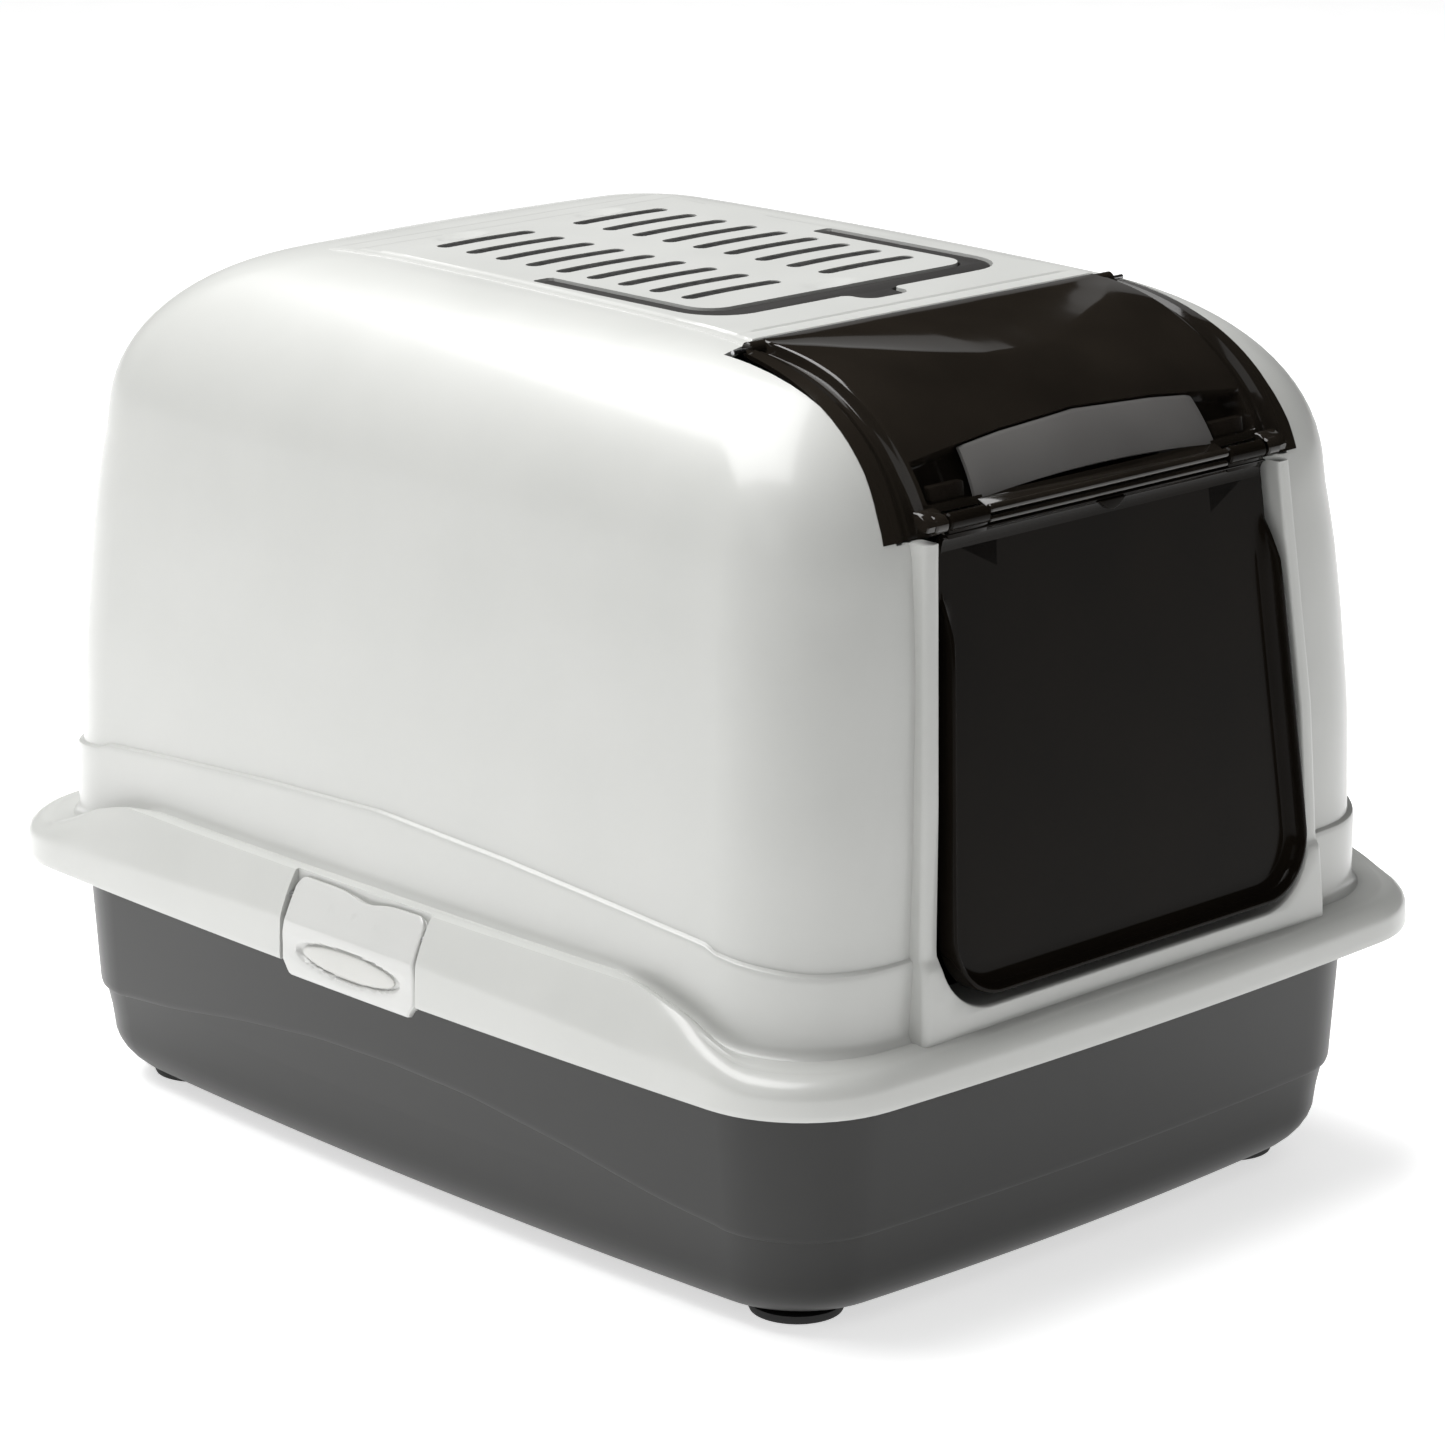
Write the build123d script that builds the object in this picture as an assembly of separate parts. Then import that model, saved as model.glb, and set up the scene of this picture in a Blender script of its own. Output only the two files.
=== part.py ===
from build123d import *
from math import cos, radians, sin
import os

os.makedirs("parts", exist_ok=True)

# Hooded cat litter box, millimetres. Origin on the floor under the middle of the box,
# +Z up, the entrance faces -Y, the two side clips are on -X and +X.

# ---- driving sizes ---------------------------------------------------------------
WIDTH = 500.0              # hood rim, middle of one long side to the other
LENGTH = 650.0             # hood rim, front to back
DECK_Z = 470.0             # flat roof of the hood above the floor
SIDE_BULGE = 9.0           # how far each long side bows out between its corners
END_BULGE = 8.5            # the same at the front and the back
CORNER_R = 60.0            # plan radius of the corners
WALL = 2.6                 # moulded wall of hood and tray
SEAT_GAP = 0.3             # running clearance between loose parts
PIN_GAP = 0.05             # radial clearance of a hinge pin in its bore

ROOT = 0.5                 # how far an added block runs into the wall that carries it
BLIND = 1.0                # depth left closed behind a pin's bore, and its end clearance

# ---- rim, tray and hood levels ---------------------------------------------------
FOOT_H = 5.0               # rubber feet under the tray floor
RIM_Z = 130.0              # lower edge of the hood rim
RIM_H = 20.0               # height of the rolled rim
RIM_ROLL = 0.4             # radius of the rim's upper edge, as a share of its height
BAND_H = 62.0              # top of the thicker shoulder band above the rim's lower edge
BAND_INSET = 22.0          # band face, in from the outer rim
BAND_PROUD = 2.5           # band stands out from the wall above it
WALL_TOP_INSET = 38.5      # wall face where the roof roll starts
ROLL_H = 100.0             # height of the roof roll
SIDE_ROLL = 89.5           # how far the roll runs in from the long sides
END_ROLL = 124.5           # how far the roll runs in from the front and the back
DECK_CORNER_R = 40.0       # plan corner of the flat deck

TRAY_TOP_INSET = 25.0      # tray wall under the rim
TRAY_STEP_Z = 58.0         # height of the step line round the tray
TRAY_STEP = 1.5            # depth of that step
TRAY_STEP_INSET = 30.0     # tray wall at the step line
TRAY_EDGE_R = 28.0         # rounded bottom edge of the tray
TRAY_LOW_INSET = 36.0      # tray wall where the bottom edge starts to round
TRAY_STEP_TIGHTER = 8.0    # plan corners at the step line are this much smaller
TRAY_LOW_TIGHTER = 12.0    # and this much smaller at the rounded bottom edge
LIP_INSET = 6.0            # tray lip inside the hood rim
LIP_T = 2.8                # thickness of that lip
LIP_SHORT = 0.6            # lip ends this far below the rim's lower edge
FOOT_R = 24.0
FOOT_INSET = 88.0          # foot centre, in from the outer rim at front and sides

# ---- entrance, visor and flap -----------------------------------------------------
VISOR_SIDE = 109.5         # visor's edges, in from the outer rim at the sides
VISOR_T = 2.6
VISOR_EDGE = 19.5          # flat strip down each edge of the visor
VISOR_RAISE = 2.0          # the panel between the strips stands this proud
VISOR_GAP = 0.8            # gap round the visor
VISOR_AXIS_BACK = 4.5      # visor hinge, in front of the deck's edge
VISOR_AXIS_DROP = 4.0      # and this far below the deck
VISOR_KNUCKLE_EDGE = 9.5   # hinge bar ends, in from the visor's edges
VISOR_PIN_R = 1.2
LEDGE_W = 12.0             # ledge under the visor's edge
LEDGE_ROOT = 5.0           # ledge runs on this far behind the opening's edges
LEDGE_DROP = 8.0           # and this far below the opening
BEARING_W = 10.0           # hood's bearing blocks outside the visor's hinge bar
BEARING_BACK = 9.0         # block's reach behind the hinge
BEARING_LOW = 8.0          # and below it
VISOR_PIN_IN = 7.0         # visor pins reach this far into the hinge bar
JAMB_DROP = 79.0           # top of the door frame below the deck
DOOR_TOP_IN = 17.5         # doorway's top corners, in from the visor's edges
DOOR_SPREAD = 13.0         # doorway's sides run out by this much down to the sill
DOOR_SILL = 12.0           # sill above the rim
DOOR_R = 35.0
DOOR_ROUND = 0.9           # doorway's lower corners are rounded by this share of DOOR_R
DOOR_OVERCUT = 10.0        # doorway is cut on past the top of its frame
FRAME_BORDER = 10.0        # width of the raised border round the doorway
FRAME_INSET = 35.0         # front of the frame's top, in from the outer rim
FRAME_LEAN = 0.086         # how much the frame steps forward per unit of height
FRAME_DEPTH = 40.0         # solid depth of the frame before the hood is hollowed
FRAME_FOOT = 2.0           # frame is this much wider at its foot, each side
POCKET_EDGE = 3.0          # finger pocket ends, in from the raised panel's edges
POCKET_RISE = 9.0          # pocket's lower edge above the flap axis
POCKET_H = 27.0
POCKET_DEPTH = 9.0
POCKET_SIDE = 31.0         # open part of the pocket at each end of the grip panel
GRIP_LIFT = 3.0            # gap under the grip panel
RAIL_CLEAR = 1.5           # visor's lower edge over the flap's barrels
WEB_REACH = 14.0           # hinge rail's web runs this far behind the roll's foot
FLAP_AXIS_INSET = 40.0     # flap axis, in from the outer rim at the front
FLAP_AXIS_RISE = 8.0       # and above the top of the door frame
FLAP_LEAN = 5.7            # degrees that the flap leans back
FLAP_GAP = 5.0             # gap between the flap's edge and the doorway
FLAP_SILL_GAP = 6.0        # flap's lower edge above the sill
FLAP_BACK = 3.2            # flap's front face behind its axis
FLAP_T = 2.4
FLAP_RIM = 9.0             # height of the flange round the flap
FLAP_RIM_DROP = 29.0       # flange starts this far below the door frame's top
KNUCKLE_R = 4.5
KNUCKLE_EDGE = 9.0         # flap knuckles end this far inside the doorway's top corners
KNUCKLE_L = 26.0
STRAP_FRONT = 0.8          # strap that ties a knuckle to the flap, before its axis
STRAP_BACK = 4.2           # and behind it
STRAP_L = 12.0             # strap runs down the flap by this much
EAR_T = 8.0                # visor ear outside each flap knuckle
FLAP_PIN_R = 1.6
FLAP_PIN_HALF = 9.0        # half of a flap pin's length
END_PLAY = 0.5             # sideways play between a knuckle and its ear
FLAP_PIN_SHORT = 2.0       # flap pin stops this far inside the ear's outer face

# ---- handle -----------------------------------------------------------------------
HANDLE_W = 212.0           # over the two arms
HANDLE_ARM = 11.0
HANDLE_L = 131.0           # pivot to the front of the bar
HANDLE_SET_BACK = 42.0     # front of the bar behind the deck's front edge
HANDLE_BAR = 17.0
HANDLE_T = 4.4
HANDLE_R = 26.0            # outer corner of the U
HANDLE_TAB_W = 30.0
HANDLE_TAB = 17.0
HANDLE_TAB_R = 10.0
HANDLE_SINK = 0.4          # handle lies this far under the deck
HANDLE_PIN_IN = 6.0        # pins reach this far into each arm
HANDLE_PIN_OUT = 8.0       # and this far into the hood
PIN_SEAT_L = 10.0          # seat for a handle pin under the deck, along the pin
PIN_SEAT_W = 12.0
HANDLE_PIN_R = 1.4
HANDLE_END = 0.3           # handle arms reach this far past their pivot's thickness
GROOVE_GAP = 1.0           # round the handle's edge
GROOVE_DEPTH_GAP = 1.4     # under the handle

# ---- vent and filter ---------------------------------------------------------------
SLOT_W = 7.0
SLOT_INNER_X = 15.0
SLOT_OUTER_X = 82.0
SLOT_PITCH = 23.4
SLOTS = 9
SLOT_SET_BACK = 31.5       # middle of the first slot behind the handle's bar
FILTER_T = 8.0
FILTER_MARGIN = 7.0        # filter pad reaches this far past the slots
HOLDER_WALL = 2.0
HOLDER_CELLS = (4, 5)      # windows in the holder's floor, across and along
HOLDER_BAR = 6.0           # bar between two windows
HOLDER_HOOK_BACK = 20.0    # rear hooks, in from the holder's rear edge
HOLDER_HOOK_W = 18.0
HOLDER_HOOK_T = 2.2
HOLDER_TOE = 3.0           # hook's toe reaches this far under the holder
HOLDER_TOE_T = 2.0

# ---- side clips ---------------------------------------------------------------------
CLIP_W = 104.0
CLIP_GAP = 1.2             # between the clip's ends and the rim shoulders
CLIP_T = 3.4
CLIP_TOP_Z = 172.0
CLIP_BEND_Z = 148.0
CLIP_LEAN = 11.0           # clip's top edge, in from its face
CLIP_STEP = 1.0            # inner face lies this much lower at the bend and the top
CLIP_PIVOT_IN = 9.0        # pivot, in from the outer rim
CLIP_PIVOT_Z = 164.0
CLIP_KNUCKLE_R = 3.6
CLIP_PIN_R = 1.5
CLIP_PIN_L = 14.0
HOOK_T = 3.6
BAY_CLEAR = 1.2            # clip bay behind the clip's barrel
SHOULDER_H = 24.0          # rim shoulders beside each clip stand this far over the rim
SHOULDER_L = 190.0         # length of one shoulder from the clip
SHOULDER_INSET = 1.0       # shoulder's face, in from the outer rim
SHOULDER_LEAN = 12.0       # shoulder's top edge, in from its face
SHOULDER_BACK = 2.0        # its top rises by this much back to the wall
SHOULDER_END_LEAN = 9.0    # the same lean at the shoulder's far end
SHOULDER_END_H = 3.0       # where it fades into the rim
INLAY_L = 75.0             # oval inlay on the clip
INLAY_H = 15.0
INLAY_T = 1.4
INLAY_SUNK = 0.3           # inlay's face under the clip's

# ---- levels and places worked out from the sizes above --------------------------------
RIM_TOP_Z = RIM_Z + RIM_H
CEILING_Z = DECK_Z - WALL
TRAY_TOP_Z = RIM_TOP_Z - WALL - SEAT_GAP
ROLL_Z = DECK_Z - ROLL_H
DECK_FRONT_Y = -(LENGTH / 2 - WALL_TOP_INSET - END_ROLL)
VISOR_W = WIDTH - 2 * VISOR_SIDE
VISOR_RAISE_W = VISOR_W - 2 * VISOR_EDGE
VISOR_AXIS_Y = DECK_FRONT_Y - VISOR_AXIS_BACK
VISOR_KNUCKLE_W = VISOR_W - 2 * VISOR_KNUCKLE_EDGE
JAMB_TOP_Z = DECK_Z - JAMB_DROP
DOOR_TOP_W = VISOR_W - 2 * DOOR_TOP_IN
DOOR_LOW_W = DOOR_TOP_W + 2 * DOOR_SPREAD
DOOR_SILL_Z = RIM_TOP_Z + DOOR_SILL
FRAME_TOP_Y = LENGTH / 2 - FRAME_INSET
POCKET_W = VISOR_RAISE_W - 2 * POCKET_EDGE
GRIP_W = POCKET_W - 2 * POCKET_SIDE
FLAP_AXIS_Y = -(LENGTH / 2 - FLAP_AXIS_INSET)
FLAP_AXIS_Z = JAMB_TOP_Z + FLAP_AXIS_RISE
POCKET_LOW_Z = FLAP_AXIS_Z + POCKET_RISE
FLAP_RIM_TOP_Z = JAMB_TOP_Z - FLAP_RIM_DROP
FLAP_KNUCKLE_OUT = DOOR_TOP_W / 2 - KNUCKLE_EDGE
FLAP_KNUCKLE_IN = FLAP_KNUCKLE_OUT - KNUCKLE_L
HANDLE_FRONT_Y = DECK_FRONT_Y + HANDLE_SET_BACK
HANDLE_PIVOT_Y = HANDLE_FRONT_Y + HANDLE_L
SLOT_FRONT_Y = HANDLE_FRONT_Y + HANDLE_BAR + SLOT_SET_BACK
TRAY_STEP_R = CORNER_R - TRAY_STEP_TIGHTER
TRAY_LOW_R = CORNER_R - TRAY_LOW_TIGHTER
BIG = 2 * LENGTH           # larger than the whole box, for cutting blocks


def outline(inset_x, inset_y, z, corner):
    """Bowed rectangle with rounded corners at one height."""
    mid_x = WIDTH / 2 - inset_x
    mid_y = LENGTH / 2 - inset_y
    end_x = mid_x - SIDE_BULGE
    end_y = mid_y - END_BULGE
    sides = [
        ThreePointArc((-end_x, -end_y), (0, -mid_y), (end_x, -end_y)),
        ThreePointArc((end_x, -end_y), (mid_x, 0), (end_x, end_y)),
        ThreePointArc((end_x, end_y), (0, mid_y), (-end_x, end_y)),
        ThreePointArc((-end_x, end_y), (-mid_x, 0), (-end_x, -end_y)),
    ]
    face = make_face(sides)
    return Pos(0, 0, z) * fillet(face.vertices(), corner)


def slab(inset, z_low, z_high, corner=CORNER_R):
    """Straight-sided slab with the box's plan shape."""
    return extrude(outline(inset, inset, z_low, corner), z_high - z_low)


def box(x0, x1, y0, y1, z0, z1):
    """Block between two corners."""
    size = (x1 - x0, y1 - y0, z1 - z0)
    return Pos((x0 + x1) / 2, (y0 + y1) / 2, (z0 + z1) / 2) * Box(*size)


def rod_x(x0, x1, y, z, radius):
    """Round bar along X."""
    return Pos((x0 + x1) / 2, y, z) * Rot(0, 90, 0) * Cylinder(radius, x1 - x0)


def rod_y(y0, y1, x, z, radius):
    """Round bar along Y."""
    return Pos(x, (y0 + y1) / 2, z) * Rot(90, 0, 0) * Cylinder(radius, y1 - y0)


def prism_x(points, half):
    """Polygon given as (y, z), extruded to both sides of the middle plane."""
    plane = Plane(origin=(-half, 0, 0), x_dir=(0, 1, 0), z_dir=(1, 0, 0))
    return extrude(plane * make_face(Polyline(*points, close=True)), 2 * half)


def prism_y(points, y0, y1):
    """Polygon given as (x, z), extruded along Y."""
    plane = Plane(origin=(0, y1, 0), x_dir=(1, 0, 0), z_dir=(0, -1, 0))
    return extrude(plane * make_face(Polyline(*points, close=True)), y1 - y0)


def mirror_x(solid):
    return mirror(solid, about=Plane.YZ)


def only_solid(shape):
    """Largest solid of a boolean result, as one plain solid."""
    return max(shape.solids(), key=lambda body: body.volume)


def hood_block(skin, z_low):
    """Solid hood shape, its faces moved in by skin (negative is outwards)."""
    wall_low_inset = BAND_INSET + BAND_PROUD
    sections = [
        outline(wall_low_inset + skin, wall_low_inset + skin, z_low, CORNER_R),
        outline(WALL_TOP_INSET + skin, WALL_TOP_INSET + skin, ROLL_Z, CORNER_R),
    ]
    for angle in (15, 30, 45, 60, 75, 90):
        rise = sin(radians(angle))
        run = 1 - cos(radians(angle))
        corner = CORNER_R + (DECK_CORNER_R - CORNER_R) * rise
        inset_x = WALL_TOP_INSET + skin + (SIDE_ROLL - skin) * run
        inset_y = WALL_TOP_INSET + skin + (END_ROLL - skin) * run
        sections.append(outline(inset_x, inset_y, ROLL_Z + (ROLL_H - skin) * rise, corner))
    return loft(sections, ruled=True)


# ======================= litter tray ================================================
def tray_block(skin, z_top):
    """Solid tray shape, its faces moved in by skin."""
    low_z = FOOT_H + TRAY_EDGE_R
    upper = loft([
        outline(TRAY_STEP_INSET + skin, TRAY_STEP_INSET + skin, TRAY_STEP_Z, TRAY_STEP_R),
        outline(TRAY_TOP_INSET + skin, TRAY_TOP_INSET + skin, z_top, CORNER_R),
    ], ruled=True)
    step_inset = TRAY_STEP_INSET + TRAY_STEP + skin
    sections = [outline(step_inset, step_inset, TRAY_STEP_Z, TRAY_STEP_R)]
    for angle in (0, 22, 45, 67, 90):
        run = (TRAY_EDGE_R - skin) * (1 - cos(radians(angle)))
        drop = (TRAY_EDGE_R - skin) * sin(radians(angle))
        inset = TRAY_LOW_INSET + skin + run
        sections.append(outline(inset, inset, low_z - drop, TRAY_LOW_R))
    lower = loft(sections[::-1], ruled=True)
    return upper + lower


tray = tray_block(0, TRAY_TOP_Z)
flange = slab(LIP_INSET, TRAY_TOP_Z - WALL, TRAY_TOP_Z)
lip_low_z = RIM_Z - LIP_SHORT
lip = slab(LIP_INSET, lip_low_z, TRAY_TOP_Z)
lip = lip - slab(LIP_INSET + LIP_T, lip_low_z - 1, TRAY_TOP_Z)
tray = tray + flange + lip - tray_block(WALL, TRAY_TOP_Z + 0.001)
litter_tray = only_solid(tray)

foot_x = WIDTH / 2 - FOOT_INSET
foot_y = LENGTH / 2 - FOOT_INSET
tray_feet = []
for side_x in (-1, 1):
    for side_y in (-1, 1):
        foot = Pos(side_x * foot_x, side_y * foot_y, FOOT_H / 2) * Cylinder(FOOT_R, FOOT_H)
        tray_feet.append(chamfer(foot.edges().group_by(Axis.Z)[0], 1))


# ======================= hood shell ==================================================
hood = hood_block(0, RIM_TOP_Z) + slab(BAND_INSET, RIM_TOP_Z, RIM_Z + BAND_H)
rim = slab(0, RIM_Z, RIM_TOP_Z)
rim = fillet(rim.edges().group_by(Axis.Z)[-1], RIM_H * RIM_ROLL)
hood = hood + rim

# rim shoulders on both sides of each clip
clip_half = CLIP_W / 2 + CLIP_GAP
shoulder_face = WIDTH / 2 - SHOULDER_INSET
shoulder_back = WIDTH / 2 - BAND_INSET - WALL
for side_y in (-1, 1):
    near = [
        (shoulder_back, RIM_TOP_Z - WALL),
        (shoulder_face, RIM_TOP_Z - WALL),
        (shoulder_face - SHOULDER_LEAN, RIM_TOP_Z + SHOULDER_H),
        (shoulder_back, RIM_TOP_Z + SHOULDER_H + SHOULDER_BACK),
    ]
    far = [
        (shoulder_back, RIM_TOP_Z - WALL),
        (shoulder_face - SIDE_BULGE, RIM_TOP_Z - WALL),
        (shoulder_face - SIDE_BULGE - SHOULDER_END_LEAN, RIM_TOP_Z + SHOULDER_END_H),
        (shoulder_back, RIM_TOP_Z + SHOULDER_END_H + SHOULDER_BACK),
    ]
    faces = []
    for points, y in ((near, clip_half), (far, clip_half + SHOULDER_L)):
        plane = Plane(origin=(0, side_y * y, 0), x_dir=(1, 0, 0), z_dir=(0, -1, 0))
        faces.append(plane * make_face(Polyline(*points, close=True)))
    shoulder = loft(faces, ruled=True)
    hood = hood + shoulder + mirror_x(shoulder)

# raised frame round the doorway, leaning back a little
frame_low_y = FRAME_TOP_Y + FRAME_LEAN * (JAMB_TOP_Z - RIM_TOP_Z)
frame_profile = prism_x([
    (-FRAME_TOP_Y, JAMB_TOP_Z),
    (-frame_low_y, RIM_TOP_Z - WALL),
    (-frame_low_y + FRAME_DEPTH, RIM_TOP_Z - WALL),
    (-FRAME_TOP_Y + FRAME_DEPTH, JAMB_TOP_Z),
], WIDTH / 2)
top_half = DOOR_TOP_W / 2 + FRAME_BORDER
low_half = DOOR_LOW_W / 2 + FRAME_BORDER
frame_front = prism_y([
    (-top_half, JAMB_TOP_Z),
    (-low_half - FRAME_FOOT, RIM_TOP_Z - WALL),
    (low_half + FRAME_FOOT, RIM_TOP_Z - WALL),
    (top_half, JAMB_TOP_Z),
], -LENGTH / 2, 0)
hood = hood + (frame_profile & frame_front)

# hollow inside, and the channel that sits over the tray's lip
hood = hood - hood_block(WALL, RIM_TOP_Z - WALL)
hood = hood - slab(WALL, RIM_Z, RIM_TOP_Z - WALL)

# doorway
door = make_face(Polyline(
    (-DOOR_LOW_W / 2, DOOR_SILL_Z),
    (DOOR_LOW_W / 2, DOOR_SILL_Z),
    (DOOR_LOW_W / 2, DOOR_SILL_Z + DOOR_R),
    (DOOR_TOP_W / 2, JAMB_TOP_Z + DOOR_OVERCUT),
    (-DOOR_TOP_W / 2, JAMB_TOP_Z + DOOR_OVERCUT),
    (-DOOR_LOW_W / 2, DOOR_SILL_Z + DOOR_R),
    close=True,
))
door_corners = door.vertices().group_by(Axis.Y)[0]
door = fillet(door_corners, DOOR_R * DOOR_ROUND)
door_plane = Plane(origin=(0, 0, 0), x_dir=(1, 0, 0), z_dir=(0, -1, 0))
hood = hood - extrude(door_plane * door, LENGTH)

# opening under the visor, with a ledge that the visor's edges rest on
visor_axis_z = DECK_Z - VISOR_AXIS_DROP
knuckle_room = VISOR_AXIS_DROP + SEAT_GAP
cut_half = VISOR_W / 2 + VISOR_GAP
opening_back_y = VISOR_AXIS_Y - knuckle_room
hood = hood - box(-cut_half, cut_half, -BIG, opening_back_y, JAMB_TOP_Z, BIG)
ledge_ring = hood_block(VISOR_T, RIM_TOP_Z) - hood_block(VISOR_T + WALL, RIM_TOP_Z - 1)
for side in (-1, 1):
    inner = cut_half - LEDGE_W
    outer = cut_half + LEDGE_ROOT
    strip = box(min(side * inner, side * outer), max(side * inner, side * outer),
                -BIG, opening_back_y + LEDGE_ROOT, JAMB_TOP_Z - LEDGE_DROP, BIG)
    hood = hood + (ledge_ring & strip)
knuckle_half = VISOR_KNUCKLE_W / 2 + VISOR_GAP
hood = hood - box(
    -knuckle_half, knuckle_half,
    opening_back_y - 0.1, VISOR_AXIS_Y + knuckle_room,
    visor_axis_z - VISOR_AXIS_DROP - 2, BIG,
)

# bearing blocks for the visor pins
bearing_x0 = knuckle_half
bearing_x1 = knuckle_half + BEARING_W
bearing_block = hood_block(ROOT, RIM_TOP_Z) & box(
    bearing_x0, bearing_x1,
    opening_back_y + SEAT_GAP, VISOR_AXIS_Y + BEARING_BACK,
    visor_axis_z - BEARING_LOW, BIG,
)
for side in (1, -1):
    block = bearing_block if side == 1 else mirror_x(bearing_block)
    hood = hood + block
    x0, x1 = sorted((side * (bearing_x0 - BLIND), side * (bearing_x1 - BLIND)))
    hood = hood - rod_x(x0, x1, VISOR_AXIS_Y, visor_axis_z, VISOR_PIN_R + PIN_GAP)


def handle_plan(grow):
    """Flat U of the handle seen from above, grown all round."""
    arm_out = HANDLE_W / 2 + grow
    arm_in = HANDLE_W / 2 - HANDLE_ARM - grow
    front = HANDLE_FRONT_Y - grow
    bar_back = HANDLE_FRONT_Y + HANDLE_BAR + grow
    back = HANDLE_PIVOT_Y + HANDLE_T / 2 + HANDLE_END + grow
    whole = make_face(Polyline(
        (-arm_out, back), (-arm_out, front), (arm_out, front), (arm_out, back), close=True))
    whole = fillet(whole.vertices().group_by(Axis.Y)[0], HANDLE_R + grow)
    hollow = make_face(Polyline(
        (-arm_in, back + 1), (-arm_in, bar_back), (arm_in, bar_back), (arm_in, back + 1),
        close=True))
    hollow = fillet(hollow.vertices().group_by(Axis.Y)[0], HANDLE_R - HANDLE_ARM + 1 - grow)
    tab_half = HANDLE_TAB_W / 2 + grow
    tab = make_face(Polyline(
        (-tab_half, front + 1), (-tab_half, front - HANDLE_TAB), (tab_half, front - HANDLE_TAB),
        (tab_half, front + 1), close=True))
    tab = fillet(tab.vertices().group_by(Axis.Y)[0], HANDLE_TAB_R)
    return whole - hollow + tab


# recess for the handle: thicker deck underneath, then the groove
handle_low_z = DECK_Z - HANDLE_T - HANDLE_SINK
groove_low_z = handle_low_z - GROOVE_DEPTH_GAP
recess_floor = groove_low_z - WALL
recess = Pos(0, 0, recess_floor) * handle_plan(GROOVE_GAP + WALL)
hood = hood + extrude(recess, CEILING_Z - recess_floor + ROOT)
hood = hood - extrude(Pos(0, 0, groove_low_z) * handle_plan(GROOVE_GAP), BIG)
handle_axis_z = handle_low_z + HANDLE_T / 2
pin_seat = HANDLE_W / 2 + GROOVE_GAP
for side in (-1, 1):
    x0, x1 = sorted((side * (pin_seat - ROOT), side * (pin_seat + PIN_SEAT_L - BLIND)))
    y0 = HANDLE_PIVOT_Y - PIN_SEAT_W / 2
    hood = hood + box(*sorted((side * pin_seat, side * (pin_seat + PIN_SEAT_L))),
                      y0, y0 + PIN_SEAT_W, recess_floor, CEILING_Z + ROOT)
    hood = hood - rod_x(x0, x1, HANDLE_PIVOT_Y, handle_axis_z, HANDLE_PIN_R + PIN_GAP)

# vent slots in two rows
for side in (-1, 1):
    slot_x = side * (SLOT_INNER_X + SLOT_OUTER_X) / 2
    for index in range(SLOTS):
        y = SLOT_FRONT_Y + index * SLOT_PITCH
        slot = SlotOverall(SLOT_OUTER_X - SLOT_INNER_X, SLOT_W)
        hood = hood - extrude(Pos(slot_x, y, CEILING_Z - 1) * slot, WALL + 2)

# clip bays: the rim's outer lip and part of its top are left out here
bay_in = CLIP_PIVOT_IN + CLIP_KNUCKLE_R + BAY_CLEAR
for side in (-1, 1):
    x0, x1 = sorted((side * (WIDTH / 2 - bay_in), side * WIDTH))
    hood = hood - box(x0, x1, -clip_half, clip_half, RIM_Z - 5, RIM_TOP_Z + SHOULDER_H + 10)
    x_pivot = side * (WIDTH / 2 - CLIP_PIVOT_IN)
    for end in (-1, 1):
        y0, y1 = sorted((end * (clip_half - BLIND), end * (clip_half + CLIP_PIN_L / 2)))
        hood = hood - rod_y(y0, y1, x_pivot, CLIP_PIVOT_Z, CLIP_PIN_R + PIN_GAP)

# hooks under the deck that hold the filter holder
slot_rear_y = SLOT_FRONT_Y + (SLOTS - 1) * SLOT_PITCH
handle_recess_in = HANDLE_W / 2 - HANDLE_ARM - GROOVE_GAP - WALL
holder_x = min(SLOT_OUTER_X + FILTER_MARGIN + HOLDER_WALL, handle_recess_in - SEAT_GAP)
holder_y0 = SLOT_FRONT_Y - SLOT_W - FILTER_MARGIN
holder_y1 = slot_rear_y + SLOT_W + FILTER_MARGIN
holder_top = CEILING_Z - SEAT_GAP
holder_low = holder_top - FILTER_T - HOLDER_WALL - SEAT_GAP
hook_y_places = (
    holder_y1 - HOLDER_HOOK_BACK,
    (holder_y0 + holder_y1) / 2,
)
for side in (-1, 1):
    for y in hook_y_places:
        x_in = holder_x + SEAT_GAP
        x_out = x_in + HOLDER_HOOK_T
        y0, y1 = y - HOLDER_HOOK_W / 2, y + HOLDER_HOOK_W / 2
        toe_top = holder_low - SEAT_GAP
        stem = box(*sorted((side * x_in, side * x_out)), y0, y1,
                   toe_top - HOLDER_TOE_T, CEILING_Z + ROOT)
        toe = box(*sorted((side * (x_in - HOLDER_TOE), side * x_out)), y0, y1,
                  toe_top - HOLDER_TOE_T, toe_top)
        hood = hood + stem + toe
hood_shell = only_solid(hood)


# ======================= filter and its holder =======================================
holder = box(-holder_x, holder_x, holder_y0, holder_y1, holder_low, holder_top)
inside_x = holder_x - HOLDER_WALL
holder = holder - box(-inside_x, inside_x, holder_y0 + HOLDER_WALL, holder_y1 - HOLDER_WALL,
                      holder_low + HOLDER_WALL, holder_top + 1)
cells_x, cells_y = HOLDER_CELLS
cell_x = 2 * inside_x / cells_x
cell_y = (holder_y1 - holder_y0 - 2 * HOLDER_WALL) / cells_y
for i in range(cells_x):
    for j in range(cells_y):
        centre_x = -inside_x + (i + 0.5) * cell_x
        centre_y = holder_y0 + HOLDER_WALL + (j + 0.5) * cell_y
        window = Pos(centre_x, centre_y, holder_low) * Box(cell_x - HOLDER_BAR, cell_y - HOLDER_BAR, FILTER_T)
        holder = holder - window
filter_holder = only_solid(holder)
pad_x = inside_x - SEAT_GAP
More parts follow.
